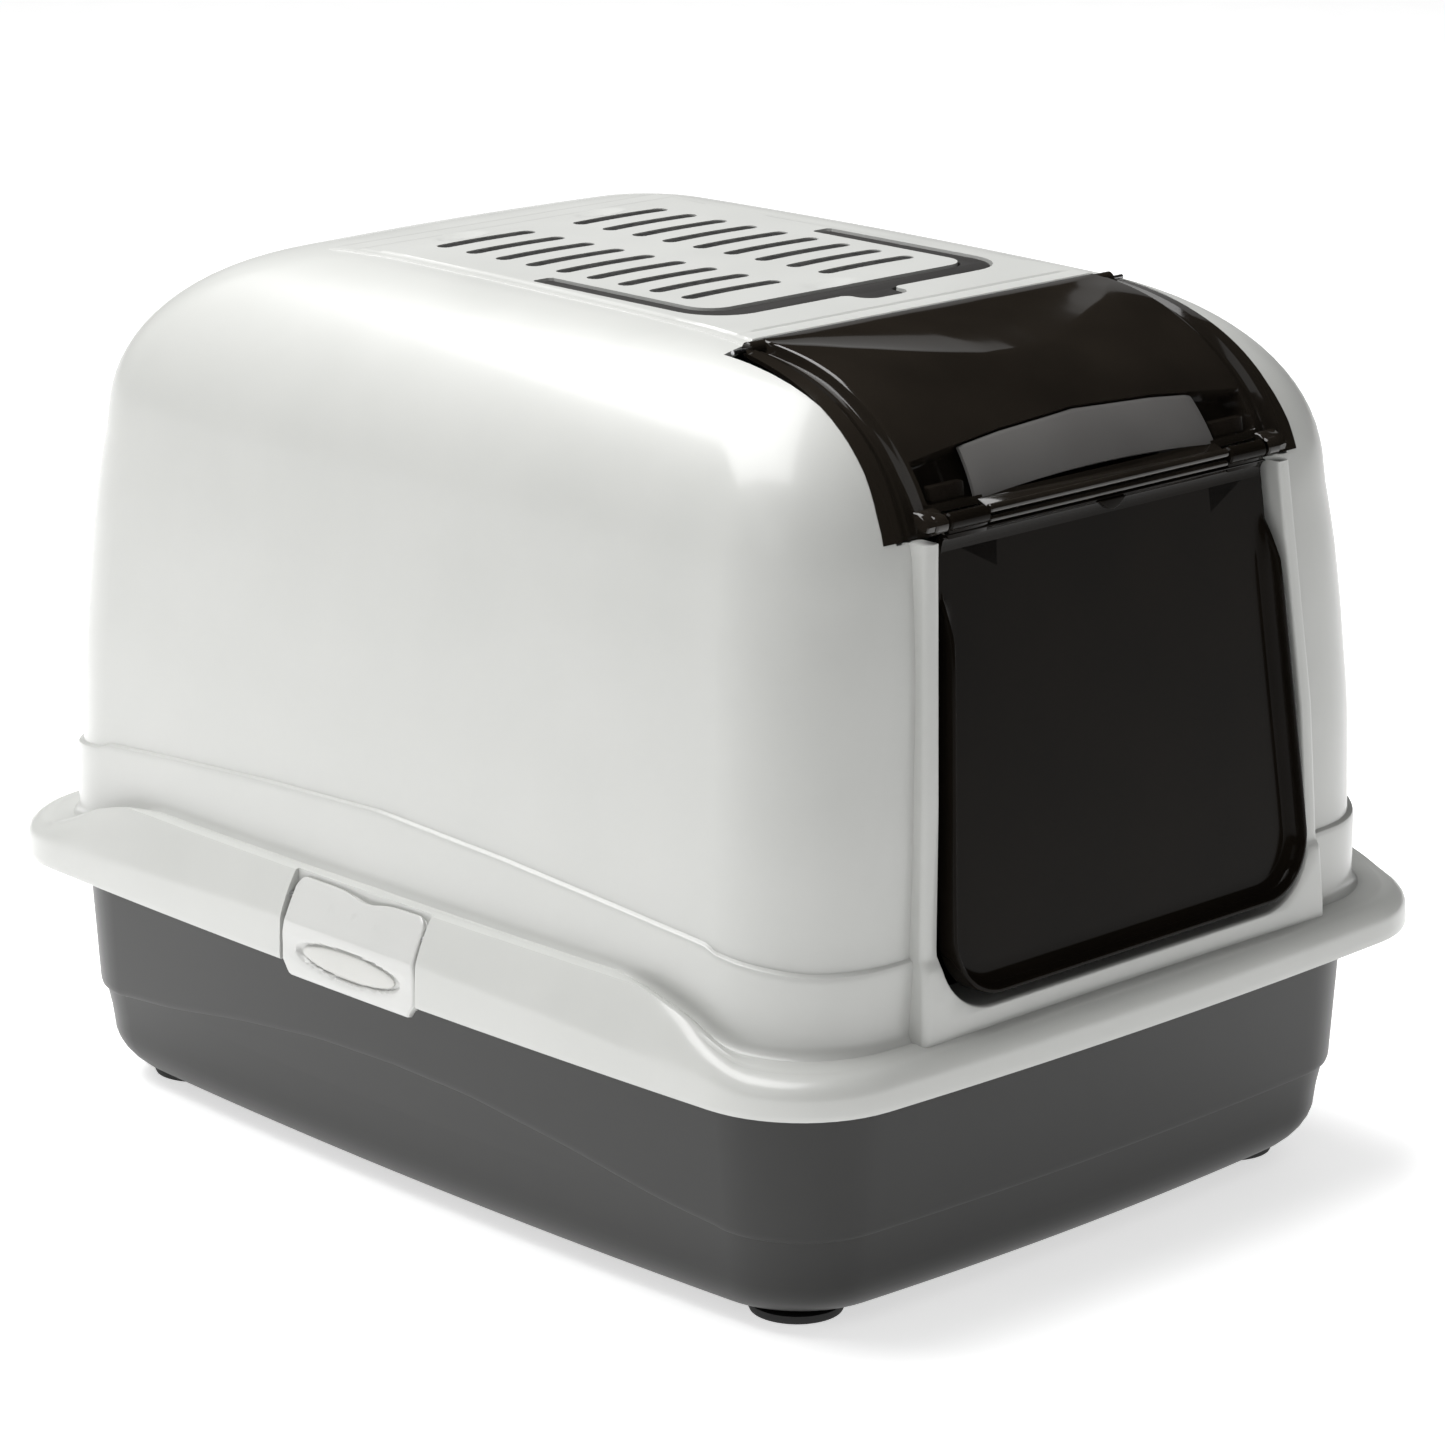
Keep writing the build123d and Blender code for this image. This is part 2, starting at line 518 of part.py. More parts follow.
carbon_filter = box(-pad_x, pad_x, holder_y0 + HOLDER_WALL + SEAT_GAP,
                    holder_y1 - HOLDER_WALL - SEAT_GAP,
                    holder_low + HOLDER_WALL + SEAT_GAP / 2, holder_top - SEAT_GAP / 2)


# ======================= carry handle ================================================
handle = extrude(Pos(0, 0, handle_low_z) * handle_plan(0), HANDLE_T)
handle_pins = {}
for side, word in ((-1, "left"), (1, "right")):
    x0, x1 = sorted((side * (HANDLE_W / 2 - HANDLE_PIN_IN), side * (pin_seat + HANDLE_PIN_OUT)))
    pin = rod_x(x0, x1, HANDLE_PIVOT_Y, handle_axis_z, HANDLE_PIN_R)
    handle = handle - rod_x(x0 - 0.5, x1 + 0.5, HANDLE_PIVOT_Y, handle_axis_z,
                            HANDLE_PIN_R + PIN_GAP)
    handle_pins[word] = pin
carry_handle = only_solid(handle)


# ======================= visor =======================================================
lower_edge_z = JAMB_TOP_Z + VISOR_GAP
visor_room = box(-VISOR_W / 2, VISOR_W / 2, -BIG, VISOR_AXIS_Y, lower_edge_z, BIG)
visor_room = visor_room - box(VISOR_KNUCKLE_W / 2, VISOR_W, opening_back_y - VISOR_GAP, 0,
                              lower_edge_z, BIG)
visor_room = visor_room - box(-VISOR_W, -VISOR_KNUCKLE_W / 2, opening_back_y - VISOR_GAP, 0,
                              lower_edge_z, BIG)
sheet_inner = hood_block(VISOR_T - SEAT_GAP, RIM_TOP_Z)
sheet = (hood_block(0, RIM_TOP_Z) - sheet_inner) & visor_room
raised_back_y = VISOR_AXIS_Y - VISOR_AXIS_DROP - VISOR_RAISE
raised_room = box(-VISOR_RAISE_W / 2, VISOR_RAISE_W / 2, -BIG, raised_back_y,
                  lower_edge_z, BIG)
raised = (hood_block(-VISOR_RAISE, RIM_TOP_Z) - sheet_inner) & raised_room
visor = sheet + raised

# the middle of the lower edge stops above the flap's swing
clear_z = FLAP_AXIS_Z + KNUCKLE_R + RAIL_CLEAR
ear_out = FLAP_KNUCKLE_OUT + END_PLAY + EAR_T
flap_bore_in = FLAP_KNUCKLE_OUT - FLAP_PIN_HALF - BLIND
flap_bore_out = ear_out - FLAP_PIN_SHORT + BLIND / 2
visor = visor - box(-ear_out, ear_out, -BIG, 0, lower_edge_z - 1, clear_z)

# finger pocket with the grip panel standing over it
pocket_top = POCKET_LOW_Z + POCKET_H
pocket_half = POCKET_W / 2
visor = visor - box(-pocket_half, pocket_half, -BIG, 0, POCKET_LOW_Z, pocket_top)
grip_room = box(-GRIP_W / 2, GRIP_W / 2, -BIG, 0,
                POCKET_LOW_Z + GRIP_LIFT, pocket_top + 1)
grip = (hood_block(-VISOR_RAISE, RIM_TOP_Z) - sheet_inner) & grip_room
pocket_floor = hood_block(POCKET_DEPTH, RIM_TOP_Z)
pocket_block = hood_block(ROOT, RIM_TOP_Z) - hood_block(POCKET_DEPTH + VISOR_T, RIM_TOP_Z)
pocket_block = pocket_block & box(-pocket_half - VISOR_T, pocket_half + VISOR_T, -BIG, 0,
                                  POCKET_LOW_Z - VISOR_T, pocket_top + VISOR_T)
pocket_hollow = hood_block(-5, RIM_TOP_Z) - pocket_floor
pocket_hollow = pocket_hollow & box(-pocket_half, pocket_half, -BIG, 0,
                                    POCKET_LOW_Z, pocket_top)
visor = visor + (pocket_block - pocket_hollow) + grip

# knuckle bar at the deck and hinge rail at the flap
knuckle_bar = rod_x(-VISOR_KNUCKLE_W / 2, VISOR_KNUCKLE_W / 2, VISOR_AXIS_Y, visor_axis_z,
                    VISOR_AXIS_DROP)
visor = visor + knuckle_bar
rail_half = FLAP_KNUCKLE_IN - END_PLAY
rail = rod_x(-rail_half, rail_half, FLAP_AXIS_Y, FLAP_AXIS_Z, KNUCKLE_R)
web_back_y = -LENGTH / 2 + WALL_TOP_INSET + WEB_REACH
web_profile = [
    (FLAP_AXIS_Y, FLAP_AXIS_Z + KNUCKLE_R / 2),
    (FLAP_AXIS_Y - 1, FLAP_AXIS_Z + KNUCKLE_R - 0.2),
    (web_back_y, clear_z + GRIP_LIFT),
    (web_back_y, clear_z),
]
visor = visor + rail + prism_x(web_profile, rail_half)
ear_webs = prism_x(web_profile, ear_out) - prism_x(web_profile, FLAP_KNUCKLE_OUT + END_PLAY)
visor = visor + ear_webs
for side in (-1, 1):
    ear_x0, ear_x1 = sorted((side * (FLAP_KNUCKLE_OUT + END_PLAY), side * ear_out))
    ear = rod_x(ear_x0, ear_x1, FLAP_AXIS_Y, FLAP_AXIS_Z, KNUCKLE_R)
    visor = visor + ear
    x0, x1 = sorted((side * flap_bore_in, side * flap_bore_out))
    visor = visor - rod_x(x0, x1, FLAP_AXIS_Y, FLAP_AXIS_Z, FLAP_PIN_R + PIN_GAP)
    x0, x1 = sorted((side * (VISOR_KNUCKLE_W / 2 - VISOR_PIN_IN - BLIND), side * VISOR_W / 2))
    visor = visor - rod_x(x0, x1, VISOR_AXIS_Y, visor_axis_z, VISOR_PIN_R + PIN_GAP)
visor = only_solid(visor)


# ======================= entrance flap ===============================================
lean = radians(FLAP_LEAN)
flap_plane = Plane(origin=(0, FLAP_AXIS_Y + FLAP_BACK, FLAP_AXIS_Z), x_dir=(1, 0, 0),
                   z_dir=(0, -cos(lean), sin(lean)))
flap_top_v = -(KNUCKLE_R + FLAP_BACK)
flap_low_v = (DOOR_SILL_Z + FLAP_SILL_GAP - FLAP_AXIS_Z) / cos(lean)
flap_rim_v = (FLAP_RIM_TOP_Z - FLAP_AXIS_Z) / cos(lean)
flap_low_half = DOOR_LOW_W / 2 - FLAP_GAP
flap_top_half = DOOR_TOP_W / 2 - FLAP_GAP


def flap_outline(inset, v_top):
    """Flap seen square on, with its v axis up the flap."""
    straight_v = flap_low_v + DOOR_R
    slope = (flap_low_half - flap_top_half) / (flap_top_v - straight_v)
    top_half = flap_low_half - slope * (v_top - straight_v) - inset
    low_half = flap_low_half - inset
    low_v = flap_low_v + inset
    face = make_face(Polyline(
        (-low_half, low_v), (low_half, low_v), (low_half, straight_v), (top_half, v_top),
        (-top_half, v_top), (-low_half, straight_v), close=True))
    return fillet(face.vertices().group_by(Axis.Y)[0], DOOR_R * DOOR_ROUND - inset)


plate = extrude(flap_plane * flap_outline(0, flap_top_v), -FLAP_T)
rim_ring = flap_outline(0, flap_rim_v) - flap_outline(FLAP_T, flap_rim_v + 1)
flap = plate + extrude(flap_plane * rim_ring, FLAP_RIM)
flap_pins = {}
for side, word in ((-1, "left"), (1, "right")):
    x0, x1 = sorted((side * FLAP_KNUCKLE_IN, side * FLAP_KNUCKLE_OUT))
    knuckle = rod_x(x0, x1, FLAP_AXIS_Y, FLAP_AXIS_Z, KNUCKLE_R)
    strap = box(x0, x1, FLAP_AXIS_Y - STRAP_FRONT, FLAP_AXIS_Y + STRAP_BACK,
                FLAP_AXIS_Z - STRAP_L, FLAP_AXIS_Z)
    flap = flap + knuckle + strap
    x0, x1 = sorted((side * flap_bore_in, side * flap_bore_out))
    flap = flap - rod_x(x0 - 0.5, x1 + 0.5, FLAP_AXIS_Y, FLAP_AXIS_Z, FLAP_PIN_R + PIN_GAP)
    x0, x1 = sorted((side * (FLAP_KNUCKLE_OUT - FLAP_PIN_HALF), side * (ear_out - FLAP_PIN_SHORT)))
    flap_pins[word] = rod_x(x0, x1, FLAP_AXIS_Y, FLAP_AXIS_Z, FLAP_PIN_R)
entrance_flap = only_solid(flap)

visor_pins = {}
for side, word in ((-1, "left"), (1, "right")):
    x0, x1 = sorted((side * (VISOR_KNUCKLE_W / 2 - VISOR_PIN_IN), side * (bearing_x1 - 2 * BLIND)))
    visor_pins[word] = rod_x(x0, x1, VISOR_AXIS_Y, visor_axis_z, VISOR_PIN_R)


# ======================= side clips ==================================================
face_x = WIDTH / 2
hook_top_z = RIM_Z - LIP_SHORT - SEAT_GAP
hook_in = LIP_INSET + LIP_T + ROOT
clip_profile = [
    (face_x, hook_top_z - HOOK_T),
    (face_x, CLIP_BEND_Z),
    (face_x - CLIP_LEAN, CLIP_TOP_Z),
    (face_x - CLIP_LEAN - CLIP_T, CLIP_TOP_Z - CLIP_STEP),
    (face_x - CLIP_T, CLIP_BEND_Z - CLIP_STEP),
    (face_x - CLIP_T, hook_top_z),
    (face_x - hook_in, hook_top_z),
    (face_x - hook_in, hook_top_z - HOOK_T),
]
clip = prism_y(clip_profile, -CLIP_W / 2, CLIP_W / 2)
pivot_x = face_x - CLIP_PIVOT_IN
clip = clip + rod_y(-CLIP_W / 2, CLIP_W / 2, pivot_x, CLIP_PIVOT_Z, CLIP_KNUCKLE_R)
inlay_z = (hook_top_z + CLIP_BEND_Z) / 2
inlay_plane = Plane(origin=(face_x - INLAY_T, 0, inlay_z), x_dir=(0, 1, 0), z_dir=(1, 0, 0))
oval_hole = extrude(inlay_plane * Ellipse(INLAY_L / 2, INLAY_H / 2), CLIP_T)
oval = Ellipse(INLAY_L / 2 - SEAT_GAP, INLAY_H / 2 - SEAT_GAP)
oval = extrude(inlay_plane * oval, INLAY_T - INLAY_SUNK)
clip = clip - oval_hole
clip_pin_solids = []
for end in (-1, 1):
    y0, y1 = sorted((end * (clip_half - CLIP_GAP - CLIP_PIN_L / 2),
                     end * (clip_half + CLIP_PIN_L / 2 - BLIND)))
    clip_pin_solids.append(rod_y(y0, y1, pivot_x, CLIP_PIVOT_Z, CLIP_PIN_R))
    clip = clip - rod_y(y0 - BLIND, y1 + BLIND, pivot_x, CLIP_PIVOT_Z, CLIP_PIN_R + PIN_GAP)
side_clip = only_solid(clip)


# ======================= write the parts =============================================
nodes = {
    "litter_tray": litter_tray,
    "tray_feet": Compound(children=tray_feet),
    "hood_shell": hood_shell,
    "filter_holder": filter_holder,
    "carbon_filter": carbon_filter,
    "carry_handle": carry_handle,
    "handle_pin_left": handle_pins["left"],
    "handle_pin_right": handle_pins["right"],
    "visor": visor,
    "visor_pin_left": visor_pins["left"],
    "visor_pin_right": visor_pins["right"],
    "entrance_flap": entrance_flap,
    "flap_pin_left": flap_pins["left"],
    "flap_pin_right": flap_pins["right"],
    "side_clip_right": side_clip,
    "side_clip_left": mirror_x(side_clip),
    "clip_inlay_right": oval,
    "clip_inlay_left": mirror_x(oval),
    "clip_pins_right": Compound(children=clip_pin_solids),
    "clip_pins_left": Compound(children=[mirror_x(pin) for pin in clip_pin_solids]),
}
for name, shape in nodes.items():
    export_step(shape, f"parts/{name}.step")
    print(name, round(shape.volume / 1000, 1), "cm3")
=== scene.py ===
import math
import bmesh
import bpy
import numpy as np
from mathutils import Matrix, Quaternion, Vector


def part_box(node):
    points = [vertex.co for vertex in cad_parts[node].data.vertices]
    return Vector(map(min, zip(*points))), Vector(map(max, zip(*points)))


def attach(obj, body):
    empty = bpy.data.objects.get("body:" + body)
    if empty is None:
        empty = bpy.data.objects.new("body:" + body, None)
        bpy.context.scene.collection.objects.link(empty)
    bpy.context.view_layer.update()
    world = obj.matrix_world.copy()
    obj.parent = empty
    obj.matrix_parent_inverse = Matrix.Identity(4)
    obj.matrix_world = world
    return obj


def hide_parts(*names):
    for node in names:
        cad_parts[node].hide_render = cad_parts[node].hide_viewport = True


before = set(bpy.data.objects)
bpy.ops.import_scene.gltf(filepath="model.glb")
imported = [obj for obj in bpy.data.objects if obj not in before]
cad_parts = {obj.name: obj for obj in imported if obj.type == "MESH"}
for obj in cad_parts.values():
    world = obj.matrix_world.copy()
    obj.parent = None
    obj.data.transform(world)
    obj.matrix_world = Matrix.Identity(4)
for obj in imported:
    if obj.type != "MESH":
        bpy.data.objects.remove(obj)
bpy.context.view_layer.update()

# ---- litter tray ------------------------------------------------------------------
# The deep tray that holds the litter: one injection moulding in charcoal polypropylene
# with a fine matt grain. Its wall steps in along a line that arches up over the middle of
# each long side, and a turned-down lip round its top carries the hood.
# Sizes are in millimetres; every mesh is made in metres.
WIDTH, LENGTH = 500.0, 650.0
SIDE_BULGE, END_BULGE = 9.0, 8.5
CORNER_R = 60.0
SIDE_LINES = np.array([0, 12, 24, 36, 46, 51, 55, 62, 72, 84, 96, 108, 120, 132, 144, 156,
                       168, 179, 189, 199, 208, 217, 226, 232.0])
SIDE_REACH = 232.0
SIDE_END_STEPS = 3
CORNER_STEPS = 14
END_STEPS = 30


def mould_arcs(inset_x, inset_y, corner):
    """Centres, radii and corner directions of the arcs that make one level's plan shape."""
    half_x = WIDTH / 2 - inset_x
    half_y = LENGTH / 2 - inset_y
    chord_x = half_x - SIDE_BULGE
    chord_y = half_y - END_BULGE
    side_r = (chord_y ** 2 + SIDE_BULGE ** 2) / (2 * SIDE_BULGE)
    end_r = (chord_x ** 2 + END_BULGE ** 2) / (2 * END_BULGE)
    side_x = half_x - side_r
    end_y = half_y - end_r
    reach_a = side_r - corner
    reach_b = end_r - corner
    apart = np.hypot(side_x, end_y)
    along_x, along_y = -side_x / apart, end_y / apart
    along = (reach_a ** 2 - reach_b ** 2 + apart ** 2) / (2 * apart)
    across = np.sqrt(reach_a ** 2 - along ** 2)
    centre_x = side_x + along * along_x - across * along_y
    centre_y = along * along_y + across * along_x
    angle_a = np.arctan2(centre_y, centre_x - side_x)
    angle_b = np.arctan2(centre_y - end_y, centre_x)
    return side_r, end_r, side_x, end_y, centre_x, centre_y, angle_a, angle_b


SIDE_COUNT = len(SIDE_LINES) + SIDE_END_STEPS
QUARTER = SIDE_COUNT + CORNER_STEPS + END_STEPS


def quarter_ring(inset_x, inset_y, corner):
    """Stations from the middle of the +X side, round the corner, to the middle of the end."""
    ones = np.ones(QUARTER)
    arcs = mould_arcs(inset_x * ones, inset_y * ones, corner * ones)
    side_r, end_r, side_x, end_y, centre_x, centre_y, angle_a, angle_b = arcs
    corner = corner * ones
    tangent_y = centre_y + corner * np.sin(angle_a)
    squeeze = np.minimum(1, tangent_y / SIDE_REACH)
    x = np.zeros(QUARTER)
    y = np.zeros(QUARTER)
    n = len(SIDE_LINES)
    y[:n] = SIDE_LINES * squeeze[:n]
    last = SIDE_LINES[-1] * squeeze[n:SIDE_COUNT]
    steps = np.arange(1, SIDE_END_STEPS + 1) / (SIDE_END_STEPS + 1)
    y[n:SIDE_COUNT] = last + (tangent_y[n:SIDE_COUNT] - last) * steps
    s = slice(0, SIDE_COUNT)
    x[s] = side_x[s] + np.sqrt(side_r[s] ** 2 - y[s] ** 2)
    c = slice(SIDE_COUNT, SIDE_COUNT + CORNER_STEPS)
    turn = np.linspace(0, 1, CORNER_STEPS)
    angle = angle_a[c] + (angle_b[c] - angle_a[c]) * turn
    x[c] = centre_x[c] + corner[c] * np.cos(angle)
    y[c] = centre_y[c] + corner[c] * np.sin(angle)
    e = slice(SIDE_COUNT + CORNER_STEPS, QUARTER)
    tangent_x = centre_x[e] + corner[e] * np.cos(angle_b[e])
    x[e] = tangent_x * (1 - np.arange(1, END_STEPS + 1) / END_STEPS)
    y[e] = end_y[e] + np.sqrt(end_r[e] ** 2 - x[e] ** 2)
    return x, y


def whole_ring(x, y, z):
    """All four quarters of a level, anticlockwise, as (x, y, z) rows."""
    z = z * np.ones(QUARTER)
    parts = [
        (x, y, z),
        (-x[-2::-1], y[-2::-1], z[-2::-1]),
        (-x[1:], -y[1:], z[1:]),
        (x[-2:0:-1], -y[-2:0:-1], z[-2:0:-1]),
    ]
    return np.vstack([np.column_stack(p) for p in parts])


def flowing(at, places, values, blur):
    """A measured line through the given places, eased over blur millimetres."""
    fine = np.arange(places[0] - blur, places[-1] + blur, 0.5)
    line = np.interp(fine, places, values)
    kernel = np.hanning(2 * blur + 1)
    eased = np.convolve(np.pad(line, blur, "edge"), kernel / kernel.sum(), "valid")
    return np.interp(at, fine, eased)


def placed(name, data):
    """A new object in the scene."""
    made = bpy.data.objects.new(name, data)
    bpy.context.scene.collection.objects.link(made)
    return made


def mesh_piece(name, points, faces, material, sharp=35):
    """A mesh from points in millimetres, doubles merged and edges sharper than sharp kept."""
    mesh = bpy.data.meshes.new(name)
    mesh.from_pydata([tuple(p) for p in np.asarray(points) / 1000], [], faces)
    piece = placed(name, mesh)
    tidy_mesh(piece, sharp)
    if material:
        piece.data.materials.append(material)
    return piece


def tidy_mesh(piece, sharp):
    work = bmesh.new()
    work.from_mesh(piece.data)
    bmesh.ops.remove_doubles(work, verts=work.verts, dist=2e-6)
    bmesh.ops.dissolve_degenerate(work, edges=work.edges, dist=1e-6)
    bmesh.ops.recalc_face_normals(work, faces=work.faces)
    work.to_mesh(piece.data)
    work.free()
    piece.data.shade_smooth()
    piece.data.set_sharp_from_angle(angle=math.radians(sharp))


def coat_with(piece, material):
    """One material over the whole piece."""
    piece.data.materials.clear()
    piece.data.materials.append(material)
    piece.data.polygons.foreach_set("material_index", [0] * len(piece.data.polygons))


def grid_faces(rows, columns, wrap_rows=False, wrap_columns=False, start=0):
    faces = []
    for r in range(rows if wrap_rows else rows - 1):
        for c in range(columns if wrap_columns else columns - 1):
            r1 = (r + 1) % rows
            c1 = (c + 1) % columns
            faces.append((start + r * columns + c, start + r * columns + c1,
                          start + r1 * columns + c1, start + r1 * columns + c))
    return faces


def joined_piece(name, shells, material):
    """One mesh of several closed shells, each given as points and faces."""
    all_points, all_faces, count = [], [], 0
    for points, faces in shells:
        all_faces += [tuple(i + count for i in f) for f in faces]
        all_points.append(points)
        count += len(points)
    return mesh_piece(name, np.vstack(all_points), all_faces, material)


def swept_piece(name, rings, material, wrap_rows=False, caps=False, sharp=35):
    """Rings of equal station counts joined into one skin."""
    rows, columns = len(rings), len(rings[0])
    faces = grid_faces(rows, columns, wrap_rows, True)
    if caps:
        faces.append(tuple(range(columns))[::-1])
        faces.append(tuple(range((rows - 1) * columns, rows * columns)))
    return mesh_piece(name, np.vstack(rings), faces, material, sharp)


def moulded_plastic(name, colour, shade, rough, grain_mm, grain_depth, coat=0.0, gloss_shift=0.06,
                    transmission=0.0, mottle_mm=60.0, specular=0.5):
    """Injection-moulded plastic: slow colour drift, roughness drift and a fine moulded grain."""
    material = bpy.data.materials.new(name)
    material.use_nodes = True
    nodes, link = material.node_tree.nodes, material.node_tree.links.new
    shader = nodes["Principled BSDF"]
    place = nodes.new("ShaderNodeTexCoord")

    def noise(size_mm, detail):
        node = nodes.new("ShaderNodeTexNoise")
        node.inputs["Scale"].default_value = 1000 / size_mm
        node.inputs["Detail"].default_value = detail
        link(place.outputs["Object"], node.inputs["Vector"])
        return node

    drift = noise(mottle_mm, 3)
    tint = nodes.new("ShaderNodeValToRGB")
    for stop, at, tone in zip(tint.color_ramp.elements, (0.3, 0.7), (shade, colour)):
        stop.position = at
        stop.color = (*tone, 1)
    link(drift.outputs["Fac"], tint.inputs["Fac"])
    link(tint.outputs["Color"], shader.inputs["Base Color"])
    wear = nodes.new("ShaderNodeMapRange")
    wear.inputs["To Min"].default_value = max(0.02, rough - gloss_shift)
    wear.inputs["To Max"].default_value = rough + gloss_shift
    link(drift.outputs["Fac"], wear.inputs["Value"])
    link(wear.outputs["Result"], shader.inputs["Roughness"])
    bump = nodes.new("ShaderNodeBump")
    bump.inputs["Strength"].default_value = 0.35
    bump.inputs["Distance"].default_value = grain_depth / 1000
    link(noise(grain_mm, 4).outputs["Fac"], bump.inputs["Height"])
    link(bump.outputs["Normal"], shader.inputs["Normal"])
    for socket, value in (("Coat Weight", coat), ("Coat Roughness", 0.12),
                          ("Transmission Weight", transmission), ("Specular IOR Level", specular)):
        shader.inputs[socket].default_value = value
    return material


charcoal = moulded_plastic("tray_charcoal_grain", (0.024, 0.024, 0.023), (0.021, 0.021, 0.020),
                           0.40, 0.9, 0.05, gloss_shift=0.04, specular=0.3)

STEP_LOW_Z, STEP_ARCH = 56.0, 26.0
BOTTOM_INSET, BOTTOM_R, BOTTOM_TOP_Z = 36.0, 28.0, 33.0
LIP_LOW_Z = 128.0
WALL = 2.6
station_x, station_y = quarter_ring(12.0, 12.0, CORNER_R)
gaps = np.hypot(np.diff(station_x), np.diff(station_y))
along_side = np.concatenate([[0], np.cumsum(gaps)])
step_z = STEP_LOW_Z + STEP_ARCH * flowing(along_side, [0, 60, 130, 190, 240, 290],
                                          [1, 0.93, 0.62, 0.24, 0.04, 0], 40)


def tray_ring(inset, z, corner):
    x, y = quarter_ring(inset, inset, corner)
    return whole_ring(x, y, z)


upper_inset = 30 - (step_z - 58) * 5 / 72
rings = [tray_ring(150, 5.2, 40), tray_ring(70, 5.0, 44)]
for angle in np.radians(np.linspace(90, 0, 10)):
    rings.append(tray_ring(BOTTOM_INSET + BOTTOM_R * (1 - math.cos(angle)),
                           BOTTOM_TOP_Z - BOTTOM_R * math.sin(angle), 48))
for part in (0.33, 0.67):
    rings.append(tray_ring(BOTTOM_INSET + (upper_inset + 2.3 - BOTTOM_INSET) * part,
                           BOTTOM_TOP_Z + (step_z - BOTTOM_TOP_Z) * part, 50))
for inset, rise in ((2.3, -2.4), (1.9, -2.15), (0.9, -1.9), (0.6, -1.5), (0.2, 0.0), (0.0, 2.0)):
    rings.append(tray_ring(upper_inset + inset, step_z + rise, 52))
for part in (0.2, 0.45, 0.7, 1.0):
    rings.append(tray_ring(upper_inset + (25.2 - upper_inset) * part,
                           step_z + 2 + (LIP_LOW_Z - step_z - 2) * part, 52 + 8 * part))
for inset, z in ((24.5, 143.2), (22.5, 144.3), (9.6, 144.3), (8.8, 143.6), (8.8, 130.0),
                 (8.2, 129.4), (6.6, 129.4), (6.0, 130.2), (6.0, 144.2), (6.7, 146.3), (8.6, 147.1),
                 (24.4, 147.1), (26.6, 146.4), (27.6, 144.4), (30.0, 110.0), (32.6, 58.0),
                 (38.6, 33.0)):
    rings.append(tray_ring(inset, z, CORNER_R if inset < 28 else 50))
for angle in np.radians(np.linspace(10, 90, 8)):
    rings.append(tray_ring(BOTTOM_INSET + WALL + (BOTTOM_R - WALL) * (1 - math.cos(angle)),
                           BOTTOM_TOP_Z - (BOTTOM_R - WALL) * math.sin(angle), 48))
rings.append(tray_ring(150, 7.8, 40))
tray = swept_piece("tray_body", rings, charcoal, caps=True)
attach(tray, "tray")
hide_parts("litter_tray")

# ---- tray feet --------------------------------------------------------------------
# Four round rubber feet glued under the corners of the tray, soft black, each with a
# rolled edge, two grip rings and a shallow middle, so that the tray does not slide.
FOOT_X, FOOT_Y = 162.0, 237.0
FOOT_PLACES = [(sx * FOOT_X, sy * FOOT_Y) for sx in (-1, 1) for sy in (-1, 1)]
FOOT_PROFILE = [(0, 1.2), (7, 1.2), (8.5, 0.2), (11, 0.0), (13, 0.2), (13.8, 1.0), (15, 1.0),
                (15.8, 0.2), (18, 0.0), (21.5, 0.0), (23.3, 0.8), (24.0, 2.4), (24.0, 5.0), (0, 5.0)]


def turned_points(profile, sides=64):
    """A profile of (radius, height) turned about its own axis: points and faces."""
    angles = np.linspace(0, 2 * math.pi, sides, endpoint=False)
    points = [(r * math.cos(a), r * math.sin(a), h) for r, h in profile for a in angles]
    return np.array(points), grid_faces(len(profile), sides, False, True)


foot_rubber = moulded_plastic("foot_rubber_soft", (0.028, 0.028, 0.028), (0.018, 0.018, 0.018),
                              0.78, 1.4, 0.12)
points, faces = turned_points(FOOT_PROFILE)
shells = [(points + np.array([x, y, 0]), faces) for x, y in FOOT_PLACES]
feet = joined_piece("rubber_feet", shells, foot_rubber)
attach(feet, "tray")
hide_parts("tray_feet")

# ---- hood shell -------------------------------------------------------------------
# The big pearl-grey cover: one polypropylene moulding with a rolled rim that drops over
# the tray's lip, raised shoulders beside each clip, a thicker band that arches along the
# sides, and a roof that rolls in from all four walls to a flat deck.
ROLL_Z, ROLL_H = 370.0, 99.2
WALL_TOP_INSET = 38.5
SIDE_ROLL, END_ROLL = 89.5, 124.5
ROLL_START = 0.18


def mould_level(z):
    """Inset at the sides, inset at the ends and corner radius of the hood's wall at height z."""
    z = np.asarray(z, float)
    wall = flowing(z, [140, 192, 250, 310, 340, 388.4, 402], [23.8, 24.7, 26, 30.5, 33.4, 40, 41.8], 24)
    rise = np.clip((z - ROLL_Z) / ROLL_H, 0, 1)
    run = 1 - np.sqrt(1 - rise ** 2)
    rolled = rise > ROLL_START
    inset_x = np.where(rolled, WALL_TOP_INSET + SIDE_ROLL * run, wall)
    inset_y = np.where(rolled, WALL_TOP_INSET + END_ROLL * run, wall)
    return inset_x, inset_y, CORNER_R - 20 * rise


